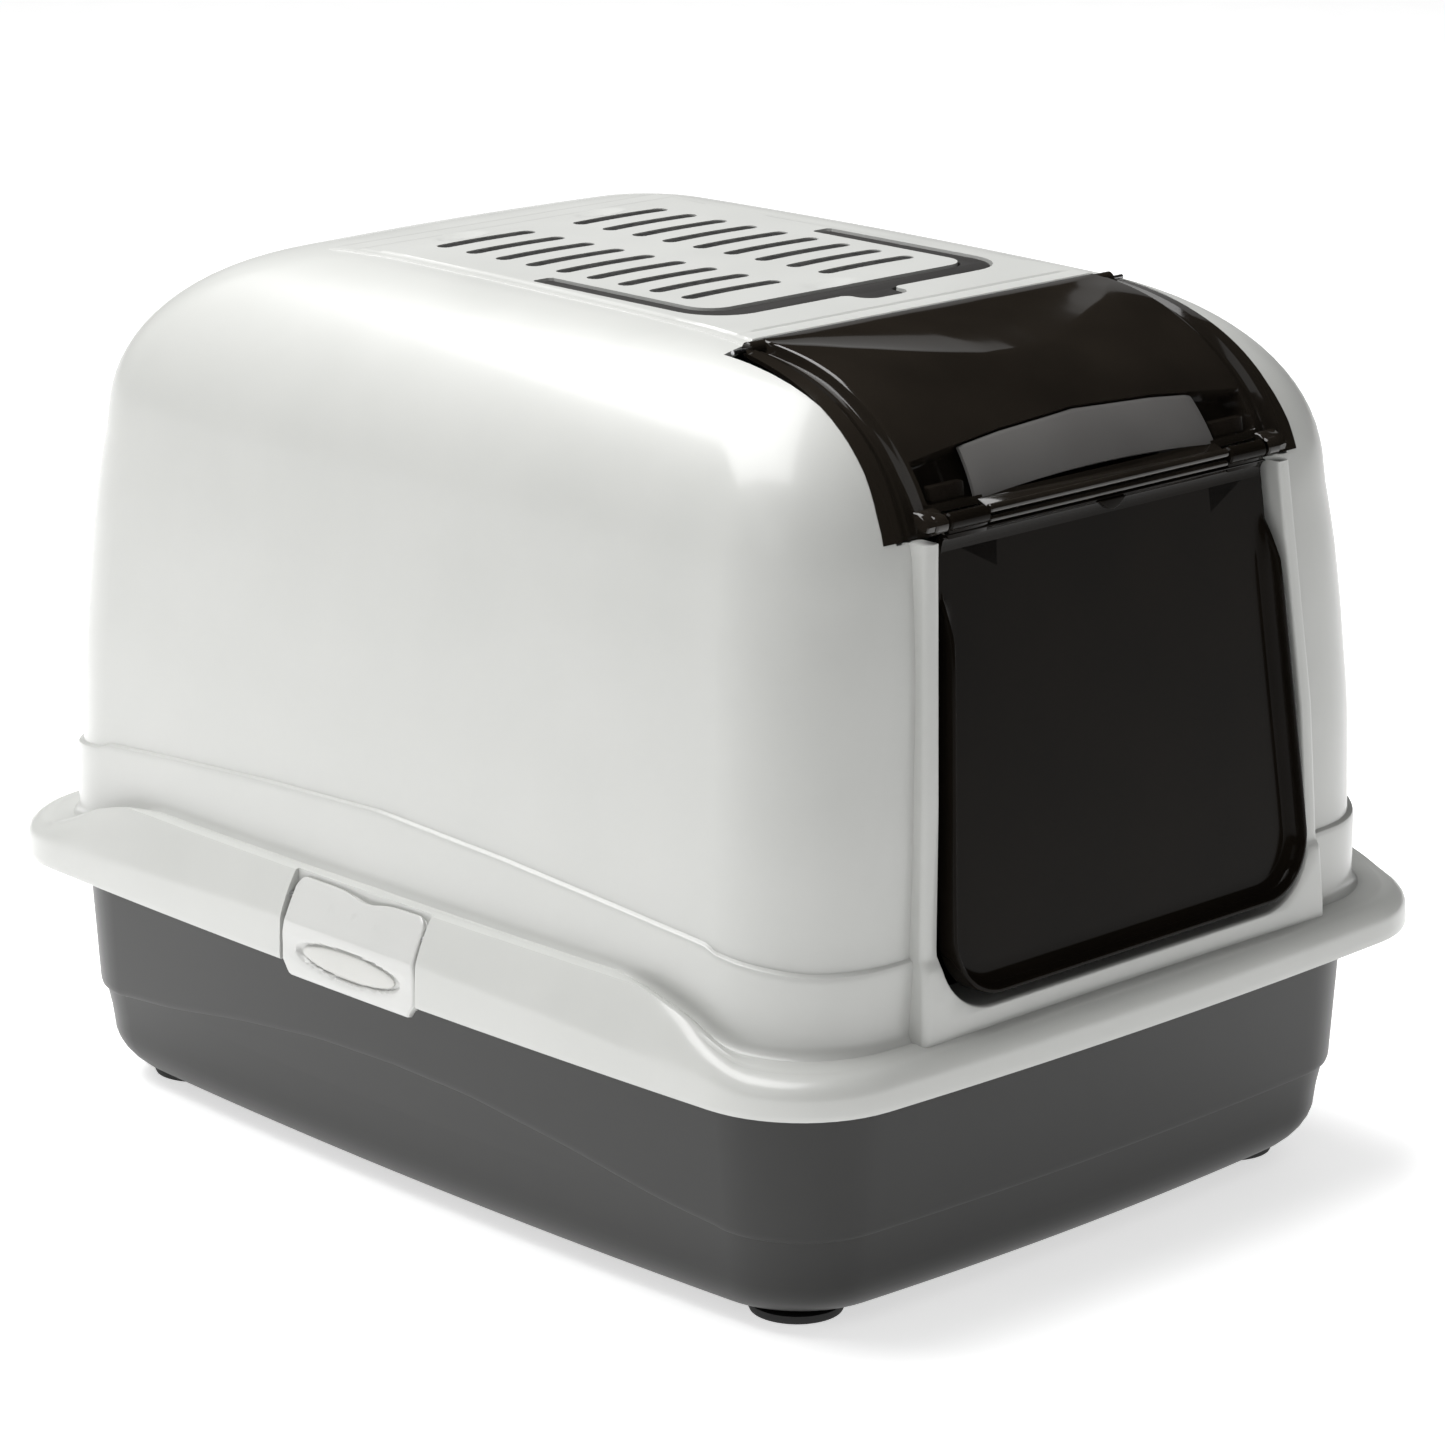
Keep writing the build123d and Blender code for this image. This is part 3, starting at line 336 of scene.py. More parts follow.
def outside_mould(x, y, z):
    """Distance outside (+) or inside (-) of the hood's wall in plan at height z."""
    inset_x, inset_y, corner = mould_level(z)
    arcs = mould_arcs(inset_x, inset_y, corner)
    side_r, end_r, side_x, end_y, centre_x, centre_y, angle_a, angle_b = arcs
    x, y = np.abs(x), np.abs(y)
    beyond_side = np.hypot(x - side_x, y) - side_r
    beyond_end = np.hypot(x, y - end_y) - end_r
    from_x, from_y = x - centre_x, y - centre_y
    past_a = np.cos(angle_a) * from_y - np.sin(angle_a) * from_x > 0
    before_b = from_x * np.sin(angle_b) - from_y * np.cos(angle_b) > 0
    in_corner = past_a & before_b
    round_corner = np.hypot(from_x, from_y) - corner
    return np.where(in_corner, round_corner, np.maximum(beyond_side, beyond_end))


def wall_ring(grow, z, z_shift=0.0):
    inset_x, inset_y, corner = mould_level(z)
    x, y = quarter_ring(inset_x + grow, inset_y + grow, corner)
    return whole_ring(x, y, z + z_shift)


ridge_z = flowing(along_side, [0, 200, 227, 252, 268, 290], [176, 176, 169, 158, 151.5, 150.2], 14)
crease_z = flowing(along_side, [0, 100, 185, 235, 268, 290], [155, 153, 149.5, 145, 141, 140.2], 14)
foot_z = flowing(along_side, [0, 183, 197, 230, 262, 290], [179, 178, 173, 163, 155, 153.4], 12)
band_z = flowing(along_side, [0, 92, 160, 229, 262, 300], [217, 213, 208, 202, 197, 192.4], 26)
shoulder = flowing(along_side, [0, 200, 262, 285], [1, 1, 0.1, 0], 16)
crease_in = 0.25 + 0.9 * shoulder
ridge_in = 10 + 2 * shoulder


def rim_ring(inset, z, corner=CORNER_R + 4):
    return tray_ring(inset, z, corner)


rings = [rim_ring(inset, z) for inset, z in (
    (WALL + 24.4, 147.4), (5.4, 147.4), (3.2, 146.6), (2.7, 144.6), (2.6, 131.4), (2.2, 130.4),
    (1.3, 130.0), (0.4, 130.5), (0.05, 131.8), (0.0, 134.0), (crease_in * 0.6, crease_z - 2.5))]
for part in (0.0, 0.1, 0.25, 0.42, 0.6, 0.76, 0.88, 0.95, 1.0):
    quarter_turn = part * math.pi / 2
    round_in = crease_in + (ridge_in - crease_in) * (1 - math.cos(quarter_turn))
    round_z = crease_z + (ridge_z - crease_z) * math.sin(quarter_turn)
    slope_in = crease_in + (ridge_in - crease_in) * part
    slope_z = crease_z + (ridge_z - crease_z) * part
    share = 0.8 * shoulder
    rings.append(rim_ring(round_in * (1 - share) + slope_in * share,
                          round_z * (1 - share) + slope_z * share))
for part, lift in ((0.22, 0.5), (0.5, 0.6), (0.8, 0.2)):
    rings.append(rim_ring(ridge_in + (19 - ridge_in) * part,
                          ridge_z + (foot_z - ridge_z) * part ** 1.4 * 0.7 + lift * 0.6, CORNER_R))
for inset, rise in ((19.6, -1.6), (21.0, 0.0), (21.9, 2.2), (22.1, 5.0)):
    rings.append(rim_ring(inset, foot_z + rise, CORNER_R))
band_face = mould_level(band_z)[0] - 2.6
for part in (0.35, 0.7, 1.0):
    rings.append(rim_ring(22.1 + (band_face - 22.1) * part, foot_z + 5 + (band_z - 4 - foot_z - 5) * part,
                          CORNER_R))
for inset, rise in ((0.15, -2.2), (0.5, -0.9), (1.2, -0.25), (2.0, 0.0), (2.45, 0.35), (2.6, 1.2)):
    rings.append(rim_ring(band_face + inset, band_z + rise, CORNER_R))
for part in np.linspace(0.08, 1, 12):
    rings.append(wall_ring(0, band_z + 1.2 + (384 - band_z - 1.2) * part))
angles = np.radians(np.concatenate([np.linspace(12, 78, 17), [82, 85.5, 88, 89.6]]))
for angle in angles:
    rings.append(wall_ring(0, ROLL_Z + ROLL_H * math.sin(angle)))
DECK_HOLE_X, DECK_HOLE_Y = 110.5, 150.0


def deck_hole_ring(z):
    """Edge of the opening in the roof, which the deck plate covers."""
    x, y = quarter_ring(128, 163, 40)
    x = x * DECK_HOLE_X / x.max()
    y = y * DECK_HOLE_Y / y.max()
    return whole_ring(np.minimum(x * 1.08, DECK_HOLE_X), y, z)


rings += [deck_hole_ring(469.1), deck_hole_ring(467.2)]
for angle in angles[::-3]:
    rings.append(wall_ring(WALL * (1 - 0.6 * math.sin(angle)), ROLL_Z + ROLL_H * math.sin(angle),
                           -WALL * math.sin(angle)))
for z in (360, 320, 280, 240, 200, 160):
    rings.append(wall_ring(WALL, float(z)))
hood = swept_piece("hood_moulding", rings, None, wrap_rows=True)

# doorway frame: a raised border that leans back, then the doorway cut through both
FRAME_FRONT = ([145, 162, 188, 192, 265, 388, 396], [-309.6, -309.2, -307.4, -304.9, -301.6, -290.0, -289.2])
FRAME_HALF = ([145, 190, 265, 388, 396], [149.5, 146.5, 142.5, 132.5, 131.9])
FRAME_EDGE_R = 3.5
DOOR_HALF = ([150, 190, 265, 388, 400], [137.6, 136.2, 132.6, 123.2, 122.3])
DOOR_SILL_Z, DOOR_R = 162.0, 35.0
VISOR_CUT_HALF = 141.4
JAMB_TOP_Z = 391.2


def frame_front(z):
    return np.interp(z, *FRAME_FRONT)


rings = []
for z in [146, 150, 160, 170, 180, 186, 188.6, 189.6, 190.4, 191.2, 192.4, 195, 205, 220, 240, 265, 290, 320,
          350, 375, 396]:
    half = np.interp(z, *FRAME_HALF)
    front = frame_front(z)
    side = []
    for angle in np.radians(np.linspace(0, 90, 7)):
        side.append((half - FRAME_EDGE_R * (1 - math.cos(angle)),
                     front + FRAME_EDGE_R * (1 - math.sin(angle))))
    middle = [(half - FRAME_EDGE_R - (half - FRAME_EDGE_R) * k / 12, front) for k in range(1, 12)]
    right = [(half + 1.2, -275.0), (half + 1.2, -289.0 if z < 300 else -280.0), *side, *middle]
    loop = right + [(0.0, front)] + [(-x, y) for x, y in right[::-1]]
    rings.append(np.array([(x, y, z) for x, y in loop]))
door_frame = swept_piece("door_frame_block", rings, None, caps=True)


def door_outline(grow):
    """Doorway seen from the front: sill, rounded lower corners and leaning sides, as (x, z)."""
    sill = DOOR_SILL_Z - grow
    r = DOOR_R + grow
    half = np.interp(sill + r, *DOOR_HALF) + grow
    right = [((half - r) * k / 10, sill) for k in range(11)]
    for angle in np.radians(np.linspace(6, 90, 15)):
        right.append((half - r + r * math.sin(angle), sill + r * (1 - math.cos(angle))))
    for z in (215, 240, 265, 290, 315, 340, 365, 385, 405):
        right.append((np.interp(z, *DOOR_HALF) + grow, z))
    return np.array(right + [(-x, z) for x, z in right[:0:-1]])


rings = []
for depth, grow in ((-40, 3), (-1.2, 3.0), (-0.3, 1.6), (0.1, 0.9), (0.7, 0.35), (1.6, 0.05),
                    (3.0, 0), (90, 0)):
    outline = door_outline(grow)
    rings.append(np.column_stack([outline[:, 0], frame_front(outline[:, 1]) + depth, outline[:, 1]]))
door_cutter = swept_piece("door_cutter", rings, None, caps=True)


def block(x0, x1, y0, y1, z0, z1):
    corners = [(x, y, z) for x in (x0, x1) for y in (y0, y1) for z in (z0, z1)]
    faces = [(0, 1, 3, 2), (4, 6, 7, 5), (0, 4, 5, 1), (2, 3, 7, 6), (0, 2, 6, 4), (1, 5, 7, 3)]
    return np.array(corners, float), faces


def apply_change(piece):
    """Makes the piece's modifier part of its mesh."""
    bpy.context.view_layer.update()
    changed = piece.evaluated_get(bpy.context.evaluated_depsgraph_get())
    made = bpy.data.meshes.new_from_object(changed)
    piece.modifiers.clear()
    piece.data = made


def carve(piece, other, operation):
    """Joins other to piece, or cuts it away, and clears other off the scene."""
    change = piece.modifiers.new("carve", "BOOLEAN")
    change.object = other
    change.operation = operation
    change.solver = "MANIFOLD"
    apply_change(piece)
    bpy.data.objects.remove(other)


CLIP_BAY, CLIP_BAY_IN = 53.2, 14.0
BAY_LOW_Z, BAY_TOP_Z = 120, 186
VISOR_CUT_BACK_Y = -162.2
carve(hood, door_frame, "UNION")
carve(hood, door_cutter, "DIFFERENCE")
carve(hood, joined_piece("roof_cutter", [
    block(-VISOR_CUT_HALF, VISOR_CUT_HALF, -400, VISOR_CUT_BACK_Y, JAMB_TOP_Z, 500)], None), "DIFFERENCE")
carve(hood, joined_piece("bay_cutter", [
    block(-300, -WIDTH / 2 + CLIP_BAY_IN, -CLIP_BAY, CLIP_BAY, BAY_LOW_Z, BAY_TOP_Z),
    block(WIDTH / 2 - CLIP_BAY_IN, 300, -CLIP_BAY, CLIP_BAY, BAY_LOW_Z, BAY_TOP_Z)], None), "DIFFERENCE")
tidy_mesh(hood, 32)
pearl = moulded_plastic("hood_pearl_satin", (0.465, 0.469, 0.452), (0.450, 0.455, 0.438), 0.36, 0.35,
                        0.015, coat=0.3)
coat_with(hood, pearl)
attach(hood, "hood")
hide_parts("hood_shell")

# ---- roof deck --------------------------------------------------------------------
# The flat top of the hood moulding, in the same pearl plastic: a plate with two stepped
# edges down its sides, two rows of nine bowed vent slots over the filter, a U groove that
# the handle drops into, two thumb scoops behind the slots and a half-moon one at the tab.
DECK_TOP_Z = 470.75
DECK_EDGE = ([-162.3, -129, -82, -20, 45, 109, 161], [129.5, 125.5, 122, 119, 116, 115.5, 120])
DECK_BACK_Y, DECK_FRONT_Y = 161.0, -162.3
SLOT_PITCH, SLOT_FRONT_Y = 23.4, -71.5
HANDLE_HALF, HANDLE_ARM, HANDLE_FRONT, HANDLE_BAR = 106.0, 11.0, -120.0, 17.0
HANDLE_BACK, HANDLE_R, TAB_HALF, TAB_REACH = 13.5, 26.0, 15.0, 15.5
GROOVE_GAP, GROOVE_Z = 1.3, 464.2


def way_out(inside, low, high, halvings):
    """Where each point leaves the hood between low and high, found by halving."""
    for _ in range(halvings):
        middle = (low + high) / 2
        within = inside(middle)
        low = np.where(within, middle, low)
        high = np.where(within, high, middle)
    return low


def mould_top_z(x, y):
    """Height of the hood's outer skin over a point of the plan."""
    low = np.full(np.shape(x), ROLL_Z)
    return way_out(lambda z: outside_mould(x, y, z) < 0, low, low + ROLL_H, 26)


def hollowed(x, y, centre, radius, depth):
    """A round scoop pressed into the deck."""
    away = np.hypot((x - centre[0]) / radius[0], (y - centre[1]) / radius[1])
    return -depth * np.clip(1 - away ** 2, 0, 1)


deck_y = np.unique(np.concatenate([np.linspace(DECK_FRONT_Y, DECK_BACK_Y, 130),
                                   [-161.8, -160.8, -151.4, -150.2, 128.6, 130.0, 143, 144.4]]))
shares = np.unique(np.concatenate([np.linspace(-1, 1, 97),
                                   [s * v for s in (-1, 1) for v in (0.992, 0.981, 0.955, 0.944, 0.925)]]))
half_width = np.interp(deck_y, *DECK_EDGE)[:, None]
deck_x = half_width * shares
deck_yy = np.repeat(deck_y[:, None], len(shares), 1)
edge_in = half_width - np.abs(deck_x)
skin = mould_top_z(deck_x, deck_yy)
step = np.interp(edge_in, [0, 0.9, 2.0, 6.0, 7.0, 9], [-2.2, -1.1, -0.85, -0.85, 0.0, 0.0])
front_strip = np.interp(deck_yy, [-162.3, -161.8, -160.8, -151.4, -150.2], [-1.6, -1.0, -0.85, -0.85, 0])
back_step = np.interp(deck_yy, [128.6, 130.0, 143, 144.4, 160, 161], [0, -0.5, -0.5, -0.95, -1.1, -2.2])
top = DECK_TOP_Z + np.minimum(np.minimum(step, front_strip), back_step)
for sx in (-1, 1):
    top = top + hollowed(deck_x, deck_yy, (sx * 50, 134), (17, 9), 1.9)
top = top + hollowed(deck_x, deck_yy, (0, -93), (17, 8), 1.5)
top = np.minimum(top, skin + 1.6 + step)
under = np.minimum(467.4, skin - 2.2)


def slab_faces(rows, columns):
    """Faces of a slab whose top and underside are grids of the same size."""
    offset = rows * columns
    faces = grid_faces(rows, columns)
    faces += [tuple(i + offset for i in f[::-1]) for f in grid_faces(rows, columns)]
    rim = list(range(columns))
    rim += [r * columns + columns - 1 for r in range(1, rows)]
    rim += [(rows - 1) * columns + c for c in range(columns - 2, -1, -1)]
    rim += [r * columns for r in range(rows - 2, 0, -1)]
    for a, b in zip(rim, rim[1:] + rim[:1]):
        faces.append((b, a, a + offset, b + offset))
    return faces


def slab(face, back):
    """Points and faces of a slab between two grids of points, its face and its back."""
    return np.vstack([face.reshape(-1, 3), back.reshape(-1, 3)]), slab_faces(*face.shape[:2])


deck = mesh_piece("roof_deck", *slab(np.stack([deck_x, deck_yy, top], 2),
                                     np.stack([deck_x, deck_yy, under], 2)), None)


def round_corner(centre, radius, start, end, steps=9):
    return [(centre[0] + radius * math.cos(a), centre[1] + radius * math.sin(a))
            for a in np.radians(np.linspace(start, end, steps))]


def handle_outline(grow):
    """Flat U of the handle with its finger tab, seen from above."""
    back, out, inner = HANDLE_BACK + grow, HANDLE_HALF + grow, HANDLE_HALF - HANDLE_ARM - grow
    front, bar = HANDLE_FRONT - grow, HANDLE_FRONT + HANDLE_BAR + grow
    r_out, r_in = HANDLE_R + grow, HANDLE_R - HANDLE_ARM + 1 - grow
    tab, reach, r_tab = TAB_HALF + grow, TAB_REACH, 9.0
    right = [(tab - r_tab, front - reach)]
    right += round_corner((tab - r_tab, front - reach + r_tab), r_tab, -84, 0, 7)
    right += round_corner((tab + 5, front - 5), 5, 180, 96, 5)
    right.append((tab + 5, front))
    right += round_corner((out - r_out, front + r_out), r_out, -90, 0)
    right += [(out, back - 2), (out - 2, back), (inner + 2, back), (inner, back - 2)]
    right += round_corner((inner - r_in, bar + r_in), r_in, 0, -90)
    return right + [(-x, y) for x, y in right[::-1]]


def prism(outline, low_z, high_z):
    """Points and faces of a flat outline given thickness."""
    count = len(outline)
    points = np.vstack([np.column_stack([outline, np.full(count, z)]) for z in (low_z, high_z)])
    faces = [tuple(range(count))[::-1], tuple(range(count, 2 * count))]
    faces += [(i, (i + 1) % count, (i + 1) % count + count, i + count) for i in range(count)]
    return points, faces


def plate_piece(name, outline, low_z, high_z, material):
    return mesh_piece(name, *prism(outline, low_z, high_z), material)


def round_edges(piece, bevel_mm):
    bevel = piece.modifiers.new("edge", "BEVEL")
    bevel.width = bevel_mm / 1000
    bevel.segments = 3
    bevel.limit_method = "ANGLE"
    bevel.angle_limit = math.radians(40)
    apply_change(piece)
    tidy_mesh(piece, 35)


def slot_outline(side, y, inside=0.0):
    """One vent slot: 67 long, 8.8 wide, bowed a little, with round ends."""
    x0, x1, half = 15.0 + inside, 82.0 - inside, 4.4 - inside
    along = np.linspace(x0 + half, x1 - half, 12)
    bow = 1.6 * np.sin(math.pi * (along - x0) / (x1 - x0))
    front = [(x, y - half + b) for x, b in zip(along, bow)]
    back = [(x, y + half + b) for x, b in zip(along, bow)]
    loop = front + round_corner((x1 - half, y + bow[-1]), half, -60, 60, 5)
    loop += back[::-1] + round_corner((x0 + half, y + bow[0]), half, 120, 240, 5)
    return loop if side > 0 else [(-x, y) for x, y in loop[::-1]]


SLOT_COUNT = 9
SLOTS = [(side, SLOT_FRONT_Y + index * SLOT_PITCH) for side in (-1, 1) for index in range(SLOT_COUNT)]
groove_floor = plate_piece("groove_floor", handle_outline(GROOVE_GAP + WALL), GROOVE_Z - WALL, 467.9, None)
carve(deck, groove_floor, "UNION")
carve(deck, plate_piece("groove_cutter", handle_outline(GROOVE_GAP), GROOVE_Z, 480, None), "DIFFERENCE")
for side, y in SLOTS:
    carve(deck, plate_piece("slot_cutter", slot_outline(side, y), 460, 480, None), "DIFFERENCE")
tidy_mesh(deck, 30)
coat_with(deck, pearl)
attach(deck, "hood")

# ---- filter -----------------------------------------------------------------------
# An open-cell carbon foam pad, near black and pitted all over, pressed up into the vent
# slots by the black slotted holder that snaps into four hooks under the deck.
pad_low, pad_high = (np.array(v) * 1000 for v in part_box("carbon_filter"))
pad_x = np.linspace(pad_low[0], pad_high[0], 72)
pad_y = np.linspace(pad_low[1], pad_high[1], 82)
grid_x, grid_y = np.meshgrid(pad_x, pad_y)
pits = (np.sin(grid_x * 0.83 + 2 * np.sin(grid_y * 0.31)) * np.sin(grid_y * 0.79 + 2 * np.sin(grid_x * 0.27)))
edge = np.minimum.reduce([grid_x - pad_low[0], pad_high[0] - grid_x,
                          grid_y - pad_low[1], pad_high[1] - grid_y])
round_off = 2.0 * np.clip(1 - edge / 3, 0, 1) ** 2
top = pad_high[2] - 0.6 + 0.5 * pits - round_off
under = pad_low[2] + 0.5 - 0.4 * pits + round_off
shells = [slab(np.stack([grid_x, grid_y, top], 2), np.stack([grid_x, grid_y, under], 2))]
foam = moulded_plastic("filter_foam_black", (0.030, 0.029, 0.028), (0.006, 0.006, 0.006), 0.95, 2.4, 1.2,
                       gloss_shift=0.03, mottle_mm=3.0, specular=0.2)
for side, y in SLOTS:
    outline = np.array(slot_outline(side, y, 0.25))
    shells.append(prism(outline, pad_low[2] + 3, 470.15 + 0.12 * np.sin(outline[:, 0] * 1.9)))
pad = joined_piece("carbon_foam_pad", shells, foam)
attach(pad, "hood")
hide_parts("carbon_filter")

holder_black = moulded_plastic("holder_black_satin", (0.025, 0.025, 0.026), (0.018, 0.018, 0.018),
                               0.45, 0.8, 0.04)
coat_with(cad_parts["filter_holder"], holder_black)

# ---- carry handle -----------------------------------------------------------------
# A flat U of brown-black polypropylene that lies in the deck's groove and folds up about
# two short steel pins; its bar has a finger tab in the middle and softly rounded edges.
handle_black = moulded_plastic("handle_black_satin", (0.008, 0.0065, 0.0055), (0.006, 0.005, 0.004), 0.5, 0.7,
                               0.05)
HANDLE_LOW_Z, HANDLE_TOP_Z = 465.2, 469.7
handle = plate_piece("folding_handle", handle_outline(0), HANDLE_LOW_Z, HANDLE_TOP_Z, handle_black)
round_edges(handle, 0.9)
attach(handle, "handle")
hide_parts("carry_handle")

# ---- pins -------------------------------------------------------------------------
# Short drawn-steel pins, bright but faintly brushed along their length: two each for the
# handle, the visor, the flap and every clip.
pin_steel = moulded_plastic("pin_steel_drawn", (0.55, 0.55, 0.56), (0.46, 0.46, 0.47), 0.28, 0.3, 0.01)
pin_steel.node_tree.nodes["Principled BSDF"].inputs["Metallic"].default_value = 1.0
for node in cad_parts:
    if "_pin" in node:
        coat_with(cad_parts[node], pin_steel)

# ---- visor ------------------------------------------------------------------------
# A smoked, see-through acrylic cover that carries on the curve of the roof down to the
# door. A raised middle panel lies between two grooved edge strips; the panel has a flat
# smile-shaped shelf at the roof and a finger pocket with a grip panel across it.
VISOR_HALF, VISOR_REAR_Y, VISOR_WALL = 140.5, -165.9, 2.4
POCKET_DEPTH = 9.0
ROLL_CENTRE_Y = -162.0
smoked = moulded_plastic("visor_smoked_gloss", (0.016, 0.013, 0.010), (0.011, 0.009, 0.007), 0.07, 3.0, 0.008,
                         coat=0.1, gloss_shift=0.03, transmission=0.1, specular=0.3)
SMILE = ([0, 20, 41, 55, 67, 81, 91, 101, 113, 121],
         [-227, -225.2, -219, -214, -209, -202, -197, -190.5, -182, -172])
POCKET_TOP = ([0, 55, 100, 118, 141], [432.5, 430, 426, 424, 424])
POCKET_LOW_Z = 406.0
RAISE = ([0, 119.2, 120.6, 121.5, 122.4, 123.4, 126.6, 127.2, 128.4, 129.0, 130.6, 131.6, 132.4, 141],
         [2.2, 2.2, 1.7, 0.2, -2.0, -2.9, -2.9, -1.5, -1.5, -2.9, -2.9, -1.2, 0.3, 0.3])


def skin_points(x, angle):
    """Points of the hood's skin met by rays from the front roll's centre line."""
    dy, dz = -np.cos(angle), np.sin(angle)

    def inside(reach):
        z = ROLL_Z + reach * dz
        level = np.minimum(z, ROLL_Z + ROLL_H - 0.01)
        return (z < ROLL_Z + ROLL_H) & (outside_mould(x, ROLL_CENTRE_Y + reach * dy, level) < 0)

    reach = way_out(inside, np.zeros_like(angle), np.full_like(angle, 170.0), 30)
    return np.stack([x, ROLL_CENTRE_Y + reach * dy, ROLL_Z + reach * dz], -1)


half_x = np.unique(np.concatenate([np.linspace(0, 84, 27), np.linspace(87, 113, 10),
                                   [115, 116.4, 117.2, 118, 118.8], RAISE[0][1:-1],
                                   [134.5, 137, 139.5, VISOR_HALF]]))
visor_x = np.concatenate([-half_x[:0:-1], half_x])
table_angle = np.radians(np.linspace(6, 89.9, 240))


def strip_x(widen):
    """Columns of the visor with both edge strips widened by a length."""
    return visor_x + np.sign(visor_x) * np.clip((np.abs(visor_x) - 119) / 21.5, 0, 1) * widen


def skin_table(x):
    """The hood's skin along the front roll, one row of points for every column x."""
    return skin_points(*np.meshgrid(x, table_angle, indexing="ij"))


TOP_WIDEN, LOW_WIDEN = -10.0, 9.0
top_table, low_table = skin_table(strip_x(TOP_WIDEN)), skin_table(strip_x(LOW_WIDEN))


def angle_at(values, axis):
    """Angle round the front roll at which each column reaches a y (axis 1) or a z (axis 2)."""
    columns = top_table if axis == 1 else low_table
    return np.array([np.interp(v, t[:, axis], table_angle) for v, t in zip(values, columns)])


ones = np.ones(len(visor_x))
ax = np.abs(visor_x)
rear = angle_at(VISOR_REAR_Y * ones, 1)
smile_y = np.minimum(flowing(ax, *SMILE, 14), -171.0)
smile = angle_at(smile_y, 1)
pocket_top_z = np.interp(ax, *POCKET_TOP)
pocket_top = angle_at(pocket_top_z, 2)
pocket_low = angle_at(POCKET_LOW_Z * ones, 2)
low_z = np.where(ax < 119.1, 402.0, 392.3)
low = angle_at(low_z, 2)
rows = []


def add_rows(start, end, shares, kind):
    for share in shares:
        rows.append((start + (end - start) * share, kind, share))


add_rows(rear, smile, np.linspace(0, 1, 15), "shelf")
add_rows(smile, pocket_top, np.linspace(0.03, 0.94, 26), "panel")
top_edge = (pocket_top - pocket_low) / np.maximum(1, pocket_top_z - POCKET_LOW_Z)
for rise in (1.2, 0.5, 0.1, -0.25, -0.8, -2.0):
    rows.append((pocket_top + top_edge * rise, "pocket_top", rise))
add_rows(pocket_top, pocket_low, np.linspace(0.15, 0.9, 8), "pocket")
for rise in (1.6, 0.7, 0.15, -0.3, -1.2):
    rows.append((pocket_low + top_edge * rise, "pocket_low", rise))
add_rows(pocket_low, low, np.linspace(0.6, 1, 5), "skirt")
angles = np.array([r[0] for r in rows])
down = (rear - angles) / (rear - low)
row_widen = TOP_WIDEN + (LOW_WIDEN - TOP_WIDEN) * down.mean(axis=1)
surface = skin_points(np.array([strip_x(widen) for widen in row_widen]), angles)


def grid_normals(grid):
    along = np.gradient(grid, axis=0)
    across = np.gradient(grid, axis=1)
    normal = np.cross(along, across)
    normal /= np.maximum(np.linalg.norm(normal, axis=2, keepdims=True), 1e-9)
    outward = normal[..., 2] * 0.6 - normal[..., 1] * 0.8
    return normal * np.sign(outward)[..., None]


def visor_relief(grown):
    """Height of the visor's face over the hood's skin; grown widens the pocket for the inside."""
    relief = np.zeros(angles.shape)
    for r, (_, kind, share) in enumerate(rows):
        line = np.interp(ax, *RAISE)
        if kind == "shelf":
            width = VISOR_REAR_Y - smile_y
            line = line - np.minimum(4.4, 4.4 * (width / 58) ** 1.3) * 4 * share * (1 - share)
        in_pocket = np.interp(ax, [116.6 + grown, 118.4 + grown], [1, 0])
        inside_top = kind == "pocket_top" and share < 0
        inside_low = kind == "pocket_low" and share > 0.1
        if kind == "pocket" or inside_top or inside_low:
            fall = 1.0
            if kind == "pocket_top":
                fall = np.interp(share, [-2, -0.8, -0.25], [1, 0.97, 0.55])
            if kind == "pocket_low":
                fall = np.interp(share, [0.15, 0.7, 1.6], [0.5, 0.93, 1.0])
            line = line * (1 - in_pocket * fall) - POCKET_DEPTH * in_pocket * fall
        if kind == "skirt" or (kind == "pocket_low" and share < 0):
            line = np.minimum(line, 1.9)
        relief[r] = line
    return relief


normals = grid_normals(surface)
outer = surface + normals * visor_relief(0)[..., None]
near_hinge = np.clip((outer[..., 1] + 171.0) / 1.5, 0, 1)
outer[..., 2] = np.minimum(outer[..., 2], DECK_TOP_Z - 0.75 * near_hinge)
inner = surface + normals * (visor_relief(2.0) - VISOR_WALL)[..., None]
inner[..., 1] = np.minimum(inner[..., 1], -164.2)
visor = mesh_piece("visor_cover", *slab(outer, inner), smoked, 28)
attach(visor, "visor")
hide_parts("visor")

# grip panel over the finger pocket: a dark satin panel whose base colour is raised to a mid grey as painted
# sheen, standing in for the light it reflects
grip_painted_sheen = moulded_plastic("grip_panel_painted_sheen", (0.105, 0.102, 0.098), (0.090, 0.087, 0.084), 0.38, 0.8,
                             0.03, coat=0.2, gloss_shift=0.04)
grip_u = np.linspace(-1, 1, 45)
grip_v = np.concatenate([[0, 0.02, 0.05], np.linspace(0.1, 0.9, 12), [0.95, 0.985, 1]])
half_at = 83.5 + 3.0 * grip_v
grip_x = grip_u[None, :] * half_at[:, None]
top_z = np.interp(np.abs(grip_x), *POCKET_TOP) - 0.6
low_edge = 404.4 + 3.6 * np.clip(1 - (np.abs(grip_x) / 80) ** 2, 0, 1)
grip_z = top_z + (low_edge - top_z) * grip_v[:, None]
columns_x = np.linspace(-120, 120, 61)
flat = skin_table(columns_x)


def skin_y(x, z):
    """Depth of the hood's skin over a height, on the front roll."""
    by_column = np.array([[np.interp(h, c[:, 2], c[:, 1]) for c in flat] for h in np.ravel(z)])
    depths = [np.interp(a, columns_x, row) for a, row in zip(np.ravel(x), by_column)]
    return np.array(depths).reshape(np.shape(x))


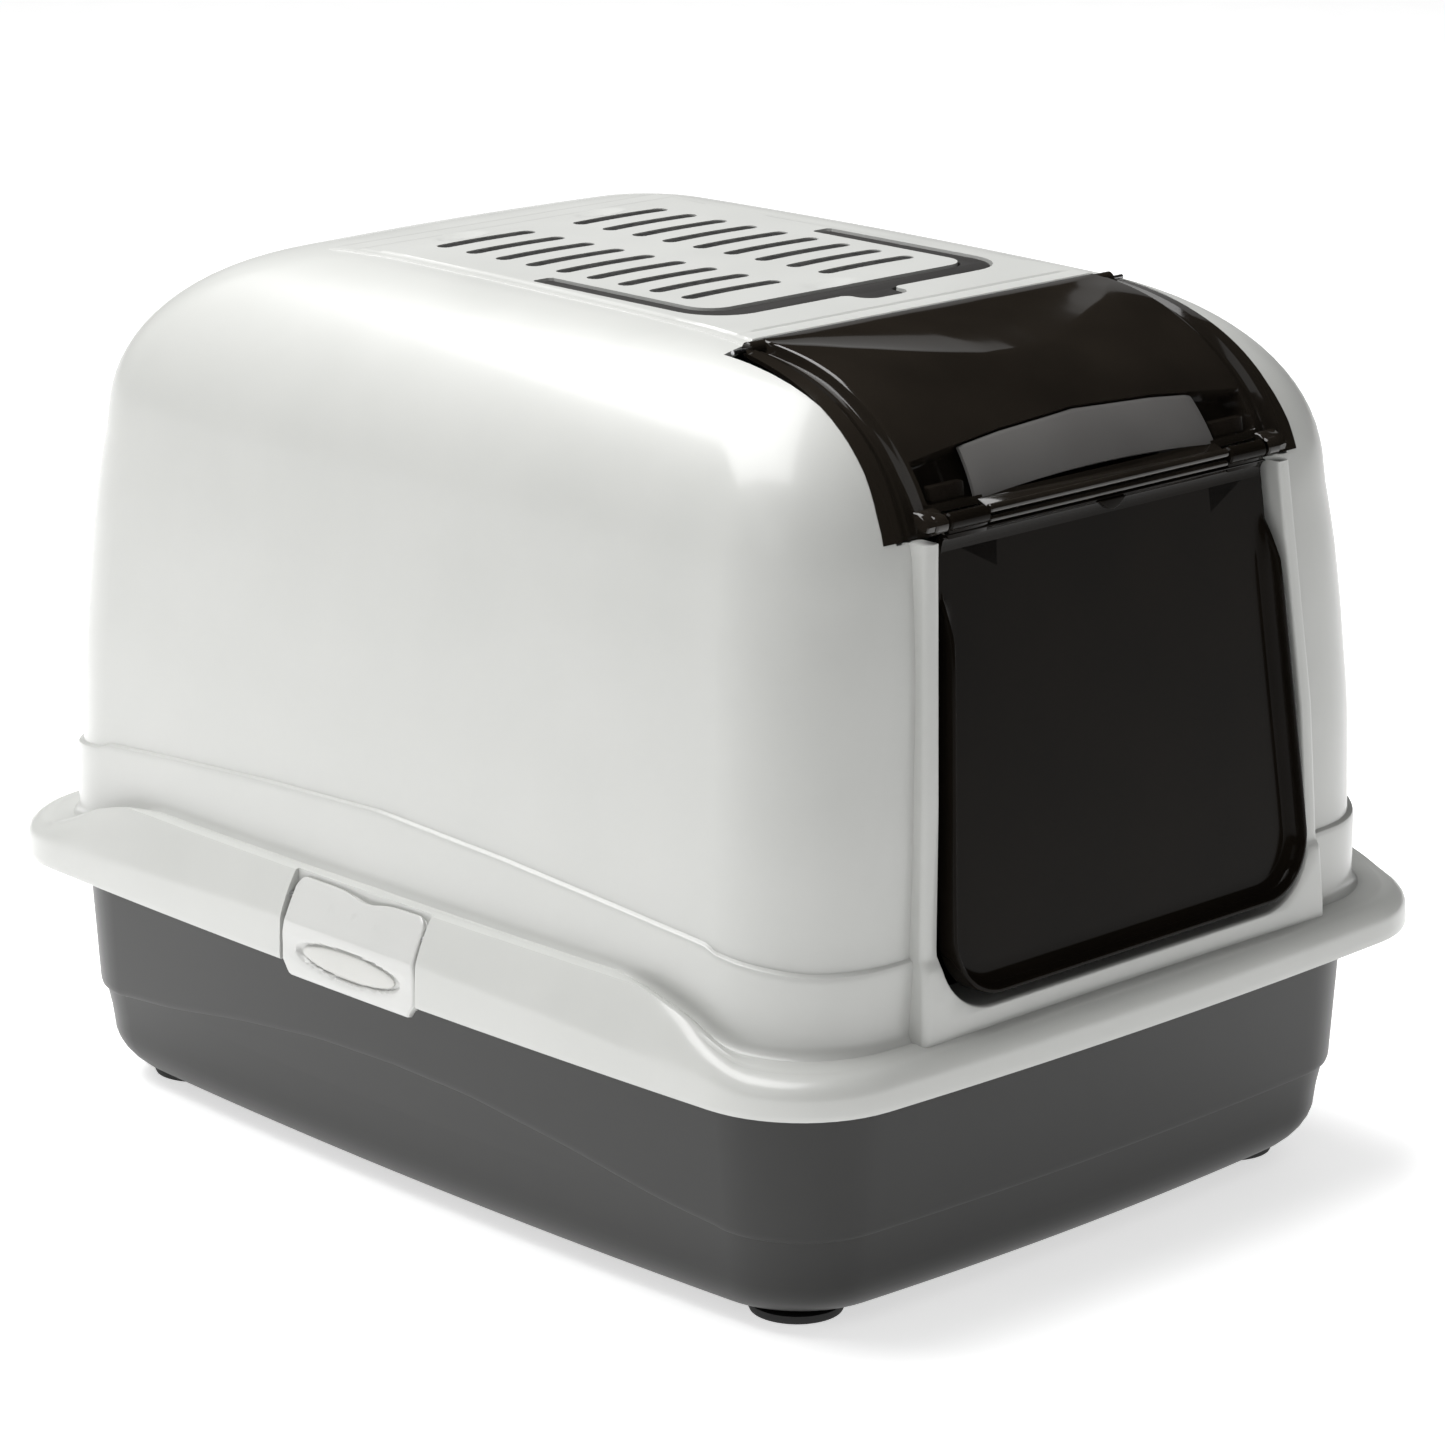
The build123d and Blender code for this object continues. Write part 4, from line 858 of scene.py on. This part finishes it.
base = np.stack([grip_x, skin_y(grip_x, grip_z), grip_z], 2)
grip_normal = grid_normals(base)
crown = 1.9 + 1.3 * np.sin(math.pi * np.clip(grip_v, 0, 1))[:, None] * np.clip(1 - np.abs(grip_u) ** 8, 0, 1)
crown = crown - 0.8 * np.clip(np.abs(grip_u) * 30 - 29, 0, 1) - 0.8 * np.clip(1 - grip_v * 30, 0, 1)[:, None]
grip = mesh_piece("grip_panel", *slab(base + grip_normal * crown[..., None], base - grip_normal * 0.8),
                  grip_painted_sheen, 40)
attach(grip, "visor")


def bar_piece(name, profile, x0, x1, material, edge=0.5, sharp=40):
    """A (y, z) profile drawn along X, with softened ends."""
    profile = np.array(profile, float)
    middle = profile.mean(axis=0)
    rings = []
    for x, shrink in ((x0, edge), (x0 + edge, 0), (x1 - edge, 0), (x1, edge)):
        size = np.ptp(profile, axis=0).max()
        loop = middle + (profile - middle) * (1 - 2 * shrink / size)
        rings.append(np.column_stack([np.full(len(loop), x), loop]))
    return swept_piece(name, rings, material, caps=True, sharp=sharp)


def round_profile(y, z, radius, steps=20):
    return [(y + radius * math.cos(a), z + radius * math.sin(a))
            for a in np.linspace(0, 2 * math.pi, steps, endpoint=False)]


FLAP_AXIS_Y, FLAP_AXIS_Z = -285.0, 399.0
HINGE_WEB = [(-285.2, 395.4), (-285.2, 402.6), (-279.5, 405.0), (-277.5, 405.0), (-280.2, 400.4),
             (-282.4, 396.0)]
EAR_WEB = [(-288.8, 399.4), (-287.6, 402.2), (-281, 405.4), (-278.4, 405.4), (-279.4, 400.0),
           (-283.5, 396.8), (-288.0, 396.8)]
POCKET_BLOCK = [(-270.0, 406.6), (-274.6, 406.6), (-273.2, 413.6), (-269.0, 413.6)]
visor_parts = [
    bar_piece("visor_hinge_bar", round_profile(-166.5, 466, 3.9, 28), -130.4, 130.4, smoked),
    bar_piece("hinge_rib_upper", round_profile(-286.2, 401.2, 2.3), -86, 86, smoked),
    bar_piece("hinge_rib_lower", round_profile(-286.3, 396.3, 1.9), -86, 86, smoked),
    bar_piece("hinge_rail_web", HINGE_WEB, -86, 86, smoked),
]
for side, word in ((-1, "left"), (1, "right")):
    for name, profile, near, far, edge in (
            ("hinge_ear_", round_profile(FLAP_AXIS_Y, FLAP_AXIS_Z, 4.7), 116.0, 124.5, 0.8),
            ("hinge_ear_web_", EAR_WEB, 116.0, 130.0, 0.6),
            ("pocket_block_", POCKET_BLOCK, 90.0, 113.0, 0.6)):
        x0, x1 = sorted((side * near, side * far))
        visor_parts.append(bar_piece(name + word, profile, x0, x1, smoked, edge))
for part in visor_parts:
    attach(part, "visor")

# ---- entrance flap ----------------------------------------------------------------
# The swinging door, pressed from the same smoked acrylic: a flat sheet inside a deep
# flange that fades out near the top, hung by two barrels on short steel pins.
FLAP_LEAN = math.radians(5.7)
FLAP_FACE_BACK, FLAP_T, FLANGE_H = 3.2, 2.3, 9.2
FLAP_SILL_Z, FLAP_TOP_Z, FLAP_CORNER_R = 168.0, 392.0, 32.0
FLAP_HALF = ([167, 190, 217, 360, 395], [132, 131, 129.5, 118.6, 116.2])
# The flap's copy of the smoked acrylic is opaque and darker than the visor's: its own smoked tint plus
# painted shade of the dark hood inside behind it.
flap_smoked_painted_shade = moulded_plastic("flap_smoked_gloss_painted_shade", (0.0065, 0.0050, 0.0036), (0.005, 0.004, 0.003), 0.09, 3.0,
                              0.006, gloss_shift=0.03, specular=0.05)


def flap_outline(inset):
    """Edge of the flap moved in by inset, as (x, z) seen from the front."""
    r = max(FLAP_CORNER_R - inset, 3.0)
    sill = FLAP_SILL_Z + inset
    half = np.interp(sill + r, *FLAP_HALF) - inset
    top = FLAP_TOP_Z - inset * 0.5
    right = [((half - r) * k / 12, sill) for k in range(13)]
    for angle in np.radians(np.linspace(5, 90, 18)):
        right.append((half - r + r * math.sin(angle), sill + r * (1 - math.cos(angle))))
    heights = [212, 230, 250, 270, 290, 310, 330, 342, 348, 354, 358, 362, 366, 372, 380, 388]
    for z in heights + [top]:
        right.append((np.interp(z, *FLAP_HALF) - inset, z))
    right += [(right[-1][0] * (1 - k / 12), top) for k in range(1, 13)]
    return np.array(right + [(-x, z) for x, z in right[-2:0:-1]])


def flap_ring(inset, lift, fades=False):
    """One loop of the flap, its face raised by lift; a loop of the flange fades out near the top."""
    outline = flap_outline(inset)
    fade = np.interp(outline[:, 1], [340, 362], [1, 0])
    height = lift * (fade ** 0.8 if fades else 1)
    drop = FLAP_AXIS_Z - outline[:, 1]
    y = FLAP_AXIS_Y + FLAP_FACE_BACK - drop * math.sin(FLAP_LEAN) - height * math.cos(FLAP_LEAN)
    z = outline[:, 1] + height * math.sin(FLAP_LEAN)
    return np.column_stack([outline[:, 0], y, z])


rings = [flap_ring(40, -FLAP_T), flap_ring(4, -FLAP_T), flap_ring(0.7, -FLAP_T), flap_ring(0.1, -1.6),
         flap_ring(0.0, 0.0)]
rings += [flap_ring(inset, FLANGE_H * part, True) for inset, part in
          ((0.0, 0.5), (0.0, 0.9), (0.25, 0.97), (0.9, 1.0), (1.7, 1.0), (2.3, 0.96), (2.6, 0.86))]
for angle in np.radians(np.linspace(0, 90, 9)):
    rings.append(flap_ring(2.8 + 6.4 * (1 - math.cos(angle)), FLANGE_H * 0.72 * (1 - math.sin(angle)), True))
rings += [flap_ring(14, 0.0), flap_ring(40, 0.0)]
flap = swept_piece("flap_door", rings, flap_smoked_painted_shade, caps=True, sharp=30)
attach(flap, "flap")
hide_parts("entrance_flap")
band = [(-282.0, 393.8), (-287.2, 393.8), (-287.6, 393.4)]
for angle in np.radians(np.linspace(0, 90, 9)):
    band.append((-287.5 + 4.3 * math.sin(angle), 393.0 - 10.0 * (1 - math.cos(angle))))
band.append((-281.6, 382.6))
flap_parts = [bar_piece("flap_top_band", band, -115.4, 115.4, flap_smoked_painted_shade, 0.6, 50)]
tab = [(-10, 0), (10, 0), (3.5, -4.6), (0, -5.4), (-3.5, -4.6)]
tab_points = [(x, -288.6 + 0.1 * z, 392.6 + z) for x, z in tab] + [(x, -285.0, 392.6 + z) for x, z in tab]
tab_faces = [(0, 1, 2, 3, 4), (9, 8, 7, 6, 5)] + [(i, (i + 1) % 5, (i + 1) % 5 + 5, i + 5) for i in range(5)]
lift_tab = mesh_piece("flap_lift_tab", tab_points, tab_faces, flap_smoked_painted_shade)
round_edges(lift_tab, 0.5)
flap_parts.append(lift_tab)
STRAP = [(-286.6, 391), (-287.6, 396), (-286.6, 396.9), (-283.4, 396.9), (-282, 394), (-280.6, 391)]
for side, word in ((-1, "left"), (1, "right")):
    x0, x1 = sorted((side * 87.2, side * 114.0))
    barrel = round_profile(FLAP_AXIS_Y, FLAP_AXIS_Z, 4.5)
    flap_parts.append(bar_piece("flap_barrel_" + word, barrel, x0, x1, flap_smoked_painted_shade, 0.9))
    flap_parts.append(bar_piece("flap_strap_" + word, STRAP, x0, x1, flap_smoked_painted_shade, 0.6))
for part in flap_parts:
    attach(part, "flap")

# ---- side clips -------------------------------------------------------------------
# Two white acetal clips that hinge in the rim's bays and snap under the tray's lip; a
# waved top edge and three small dimples for the thumb, a dished lower face with an oval
# inlay of grey plastic let into it.
CLIP_HALF, CLIP_TOP_Z = 52.0, 174.2
clip_white = moulded_plastic("clip_white_gloss", (0.50, 0.502, 0.488), (0.485, 0.488, 0.474), 0.3, 0.6, 0.008,
                             coat=0.4, gloss_shift=0.04)
inlay_grey = moulded_plastic("inlay_grey_satin", (0.52, 0.52, 0.50), (0.48, 0.48, 0.46), 0.36, 0.5, 0.02)
OVAL_Z, OVAL_HALF_L, OVAL_HALF_H = 138.6, 37.5, 7.6


def clip_section(y):
    """Outer face of the clip at one place along it: rows of (inset, z) from top to bottom."""
    top = CLIP_TOP_Z - 2.8 * math.exp(-((y + 4) / 13) ** 2) - 5.5 * max(0, 1 - (CLIP_HALF - abs(y)) / 7) ** 2
    top_in = 11.6 + (top - CLIP_TOP_Z) * 0.5
    bend_z = 153.6
    rows = [(top_in + 2.4, top - 1.4), (top_in + 1.4, top - 0.3), (top_in + 0.4, top),
            (top_in - 0.5, top - 0.8)]
    for share in np.linspace(0.08, 0.92, 12):
        rows.append((top_in - 0.7 + (1.5 - top_in + 0.7) * share - 0.3 * math.sin(math.pi * share),
                     top - 1.4 + (bend_z - top + 1.4) * share))
    for z in (153.0, 151.6, 150.0, 148.4, 147.2):
        rows.append((np.interp(z, [147.2, 151.0, 153.4], [0.6, 0.75, 1.2]), z))
    for z in np.linspace(146.4, 128.0, 21):
        rows.append((0.5, z))
    rows += [(0.45, 126.6), (0.7, 124.6), (1.6, 123.4), (3.4, 122.9)]
    return rows


clip_y = np.unique(np.concatenate([np.linspace(-CLIP_HALF + 1.2, CLIP_HALF - 1.2, 83),
                                   [-CLIP_HALF, -CLIP_HALF + 0.4, CLIP_HALF - 0.4, CLIP_HALF]]))
sections = [clip_section(y) for y in clip_y]
inset = np.array([[r[0] for r in s] for s in sections]).T
height = np.array([[r[1] for r in s] for s in sections]).T
along = np.repeat(clip_y[None, :], inset.shape[0], 0)
bow = SIDE_BULGE * (along / (LENGTH / 2)) ** 2
from_end = CLIP_HALF - np.abs(along)
inset = inset + 0.9 * np.clip(1 - from_end / 1.2, 0, 1) ** 2 + bow
oval = np.hypot(along / OVAL_HALF_L, (height - OVAL_Z) / OVAL_HALF_H)
inset = inset + np.interp(oval, [0, 0.95, 0.98, 1.06, 1.09, 1.4], [1.7, 1.7, 2.5, 2.5, 0.55, 0.0])
for dimple_y in (-18, 0, 18):
    inset = inset + 0.8 * np.clip(1 - np.hypot(along - dimple_y, height - 164) / 1.7, 0, 1)
step_in = np.interp(height, [123, 131, 146, 153, 176], [6.0, 0.0, 0.0, 1.4, 2.0]) * np.sign(along)
along = along - step_in * np.clip((np.abs(along) - 40) / 12, 0, 1)
outer = np.stack([WIDTH / 2 - inset, along, height], 2)
back_inset = inset + WALL - 0.4 * np.clip(1 - oval, 0, 1)
back_height = np.clip(height, 125.5, 200) - np.clip(height - 169, 0, 1)
inner = np.stack([WIDTH / 2 - back_inset, along, back_height], 2)
around = np.linspace(0, 2 * math.pi, 56, endpoint=False)
lens = []
for share, rise in ((1.0, -0.5), (0.99, 0.35), (0.96, 0.6), (0.85, 0.85), (0.6, 1.05), (0.3, 1.15)):
    lens.append(np.column_stack([np.full(len(around), WIDTH / 2 - 2.2 + rise),
                                 OVAL_HALF_L * 0.965 * share * np.cos(around),
                                 OVAL_Z + OVAL_HALF_H * 0.9 * share * np.sin(around)]))
BARREL_IN, BARREL_Z, BARREL_R = 9.6, 164.0, 2.6
HOOK = [(0.9, 125.5), (0.9, 128.9), (9.0, 128.9), (9.2, 127.4), (8.4, 125.5)]
for side, body in ((-1, "clip_left"), (1, "clip_right")):
    mirror = np.array([side, 1, 1])
    body_piece = mesh_piece("snap_" + body, *slab(outer * mirror, inner * mirror), clip_white, 45)
    parts = [body_piece]
    knuckle = np.array(round_profile(0, 0, BARREL_R))
    rings = []
    for y, size in ((-47, 0.8), (-46.3, 1), (46.3, 1), (47, 0.8)):
        rings.append(np.column_stack([side * (WIDTH / 2 - BARREL_IN + knuckle[:, 0] * size),
                                      np.full(len(knuckle), y), BARREL_Z + knuckle[:, 1] * size]))
    parts.append(swept_piece("clip_barrel_" + body, rings, clip_white, caps=True))
    rings = [np.array([(side * (WIDTH / 2 - x), y, z) for x, z in HOOK]) for y in (-46, 46)]
    hook_piece = swept_piece("clip_hook_" + body, rings, clip_white, caps=True)
    round_edges(hook_piece, 0.4)
    parts.append(hook_piece)
    inlay = swept_piece("oval_inlay_" + body, [ring * mirror for ring in lens], inlay_grey, caps=True)
    for part in parts + [inlay]:
        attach(part, body)
    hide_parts("side_" + body)
    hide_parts(body.replace("clip", "clip_inlay"))

# ---- studio -----------------------------------------------------------------------
# A plain pale floor that runs out past the view on every side, a large soft panel
# overhead, weaker ones at the left and behind, and a still camera with a long lens.
FLOOR_REACH, FLOOR_LINES = 14000.0, 15
floor_line = np.linspace(-FLOOR_REACH, FLOOR_REACH, FLOOR_LINES)
floor_points = [(x, y, 0.0) for y in floor_line for x in floor_line]
floor_faces = grid_faces(FLOOR_LINES, FLOOR_LINES)
floor_paint = moulded_plastic("studio_floor", (0.93, 0.93, 0.93), (0.91, 0.91, 0.91), 0.6, 3.0, 0.02)
floor_shader = floor_paint.node_tree.nodes["Principled BSDF"]
floor_shader.inputs["Emission Color"].default_value = (1, 1, 1, 1)
floor_shader.inputs["Emission Strength"].default_value = 0.6
floor = mesh_piece("studio_floor", floor_points, floor_faces, floor_paint, 60)


def light_panel(name, place, target, width, height, power):
    lamp = bpy.data.lights.new(name, "AREA")
    lamp.shape = "RECTANGLE"
    lamp.size = width
    lamp.size_y = height
    lamp.energy = power
    holder = placed(name, lamp)
    holder.location = place
    aim = Vector(target) - Vector(place)
    holder.rotation_euler = aim.to_track_quat("-Z", "Y").to_euler()


light_panel("panel_top", (-0.4, 0.7, 2.5), (0, 0, 0.3), 2.6, 2.2, 120)
light_panel("panel_left", (-2.6, -0.9, 1.7), (0, 0, 0.25), 1.5, 1.5, 5)
light_panel("panel_back", (2.9, 2.9, 1.5), (0, 0, 0.4), 3.6, 1.8, 5)
world = bpy.data.worlds.new("studio_air")
world.use_nodes = True
air = world.node_tree.nodes["Background"]
air.inputs["Color"].default_value = (1, 1, 1, 1)
air.inputs["Strength"].default_value = 0.32
world.cycles_visibility.glossy = False
bpy.context.scene.world = world
bpy.context.scene.view_settings.view_transform = "Standard"

camera_data = bpy.data.cameras.new("still_camera")
camera_data.lens = 127.44
camera_data.sensor_width = 36
camera = placed("still_camera", camera_data)
camera.location = (-1.8157, -1.8999, 0.9764)
aim = Vector((-0.0267, -0.0429, 0.2329)) - camera.location
ROLL = math.radians(0.17)
camera.rotation_euler = (aim.to_track_quat("-Z", "Y") @ Quaternion((0, 0, 1), ROLL)).to_euler()
bpy.context.scene.camera = camera
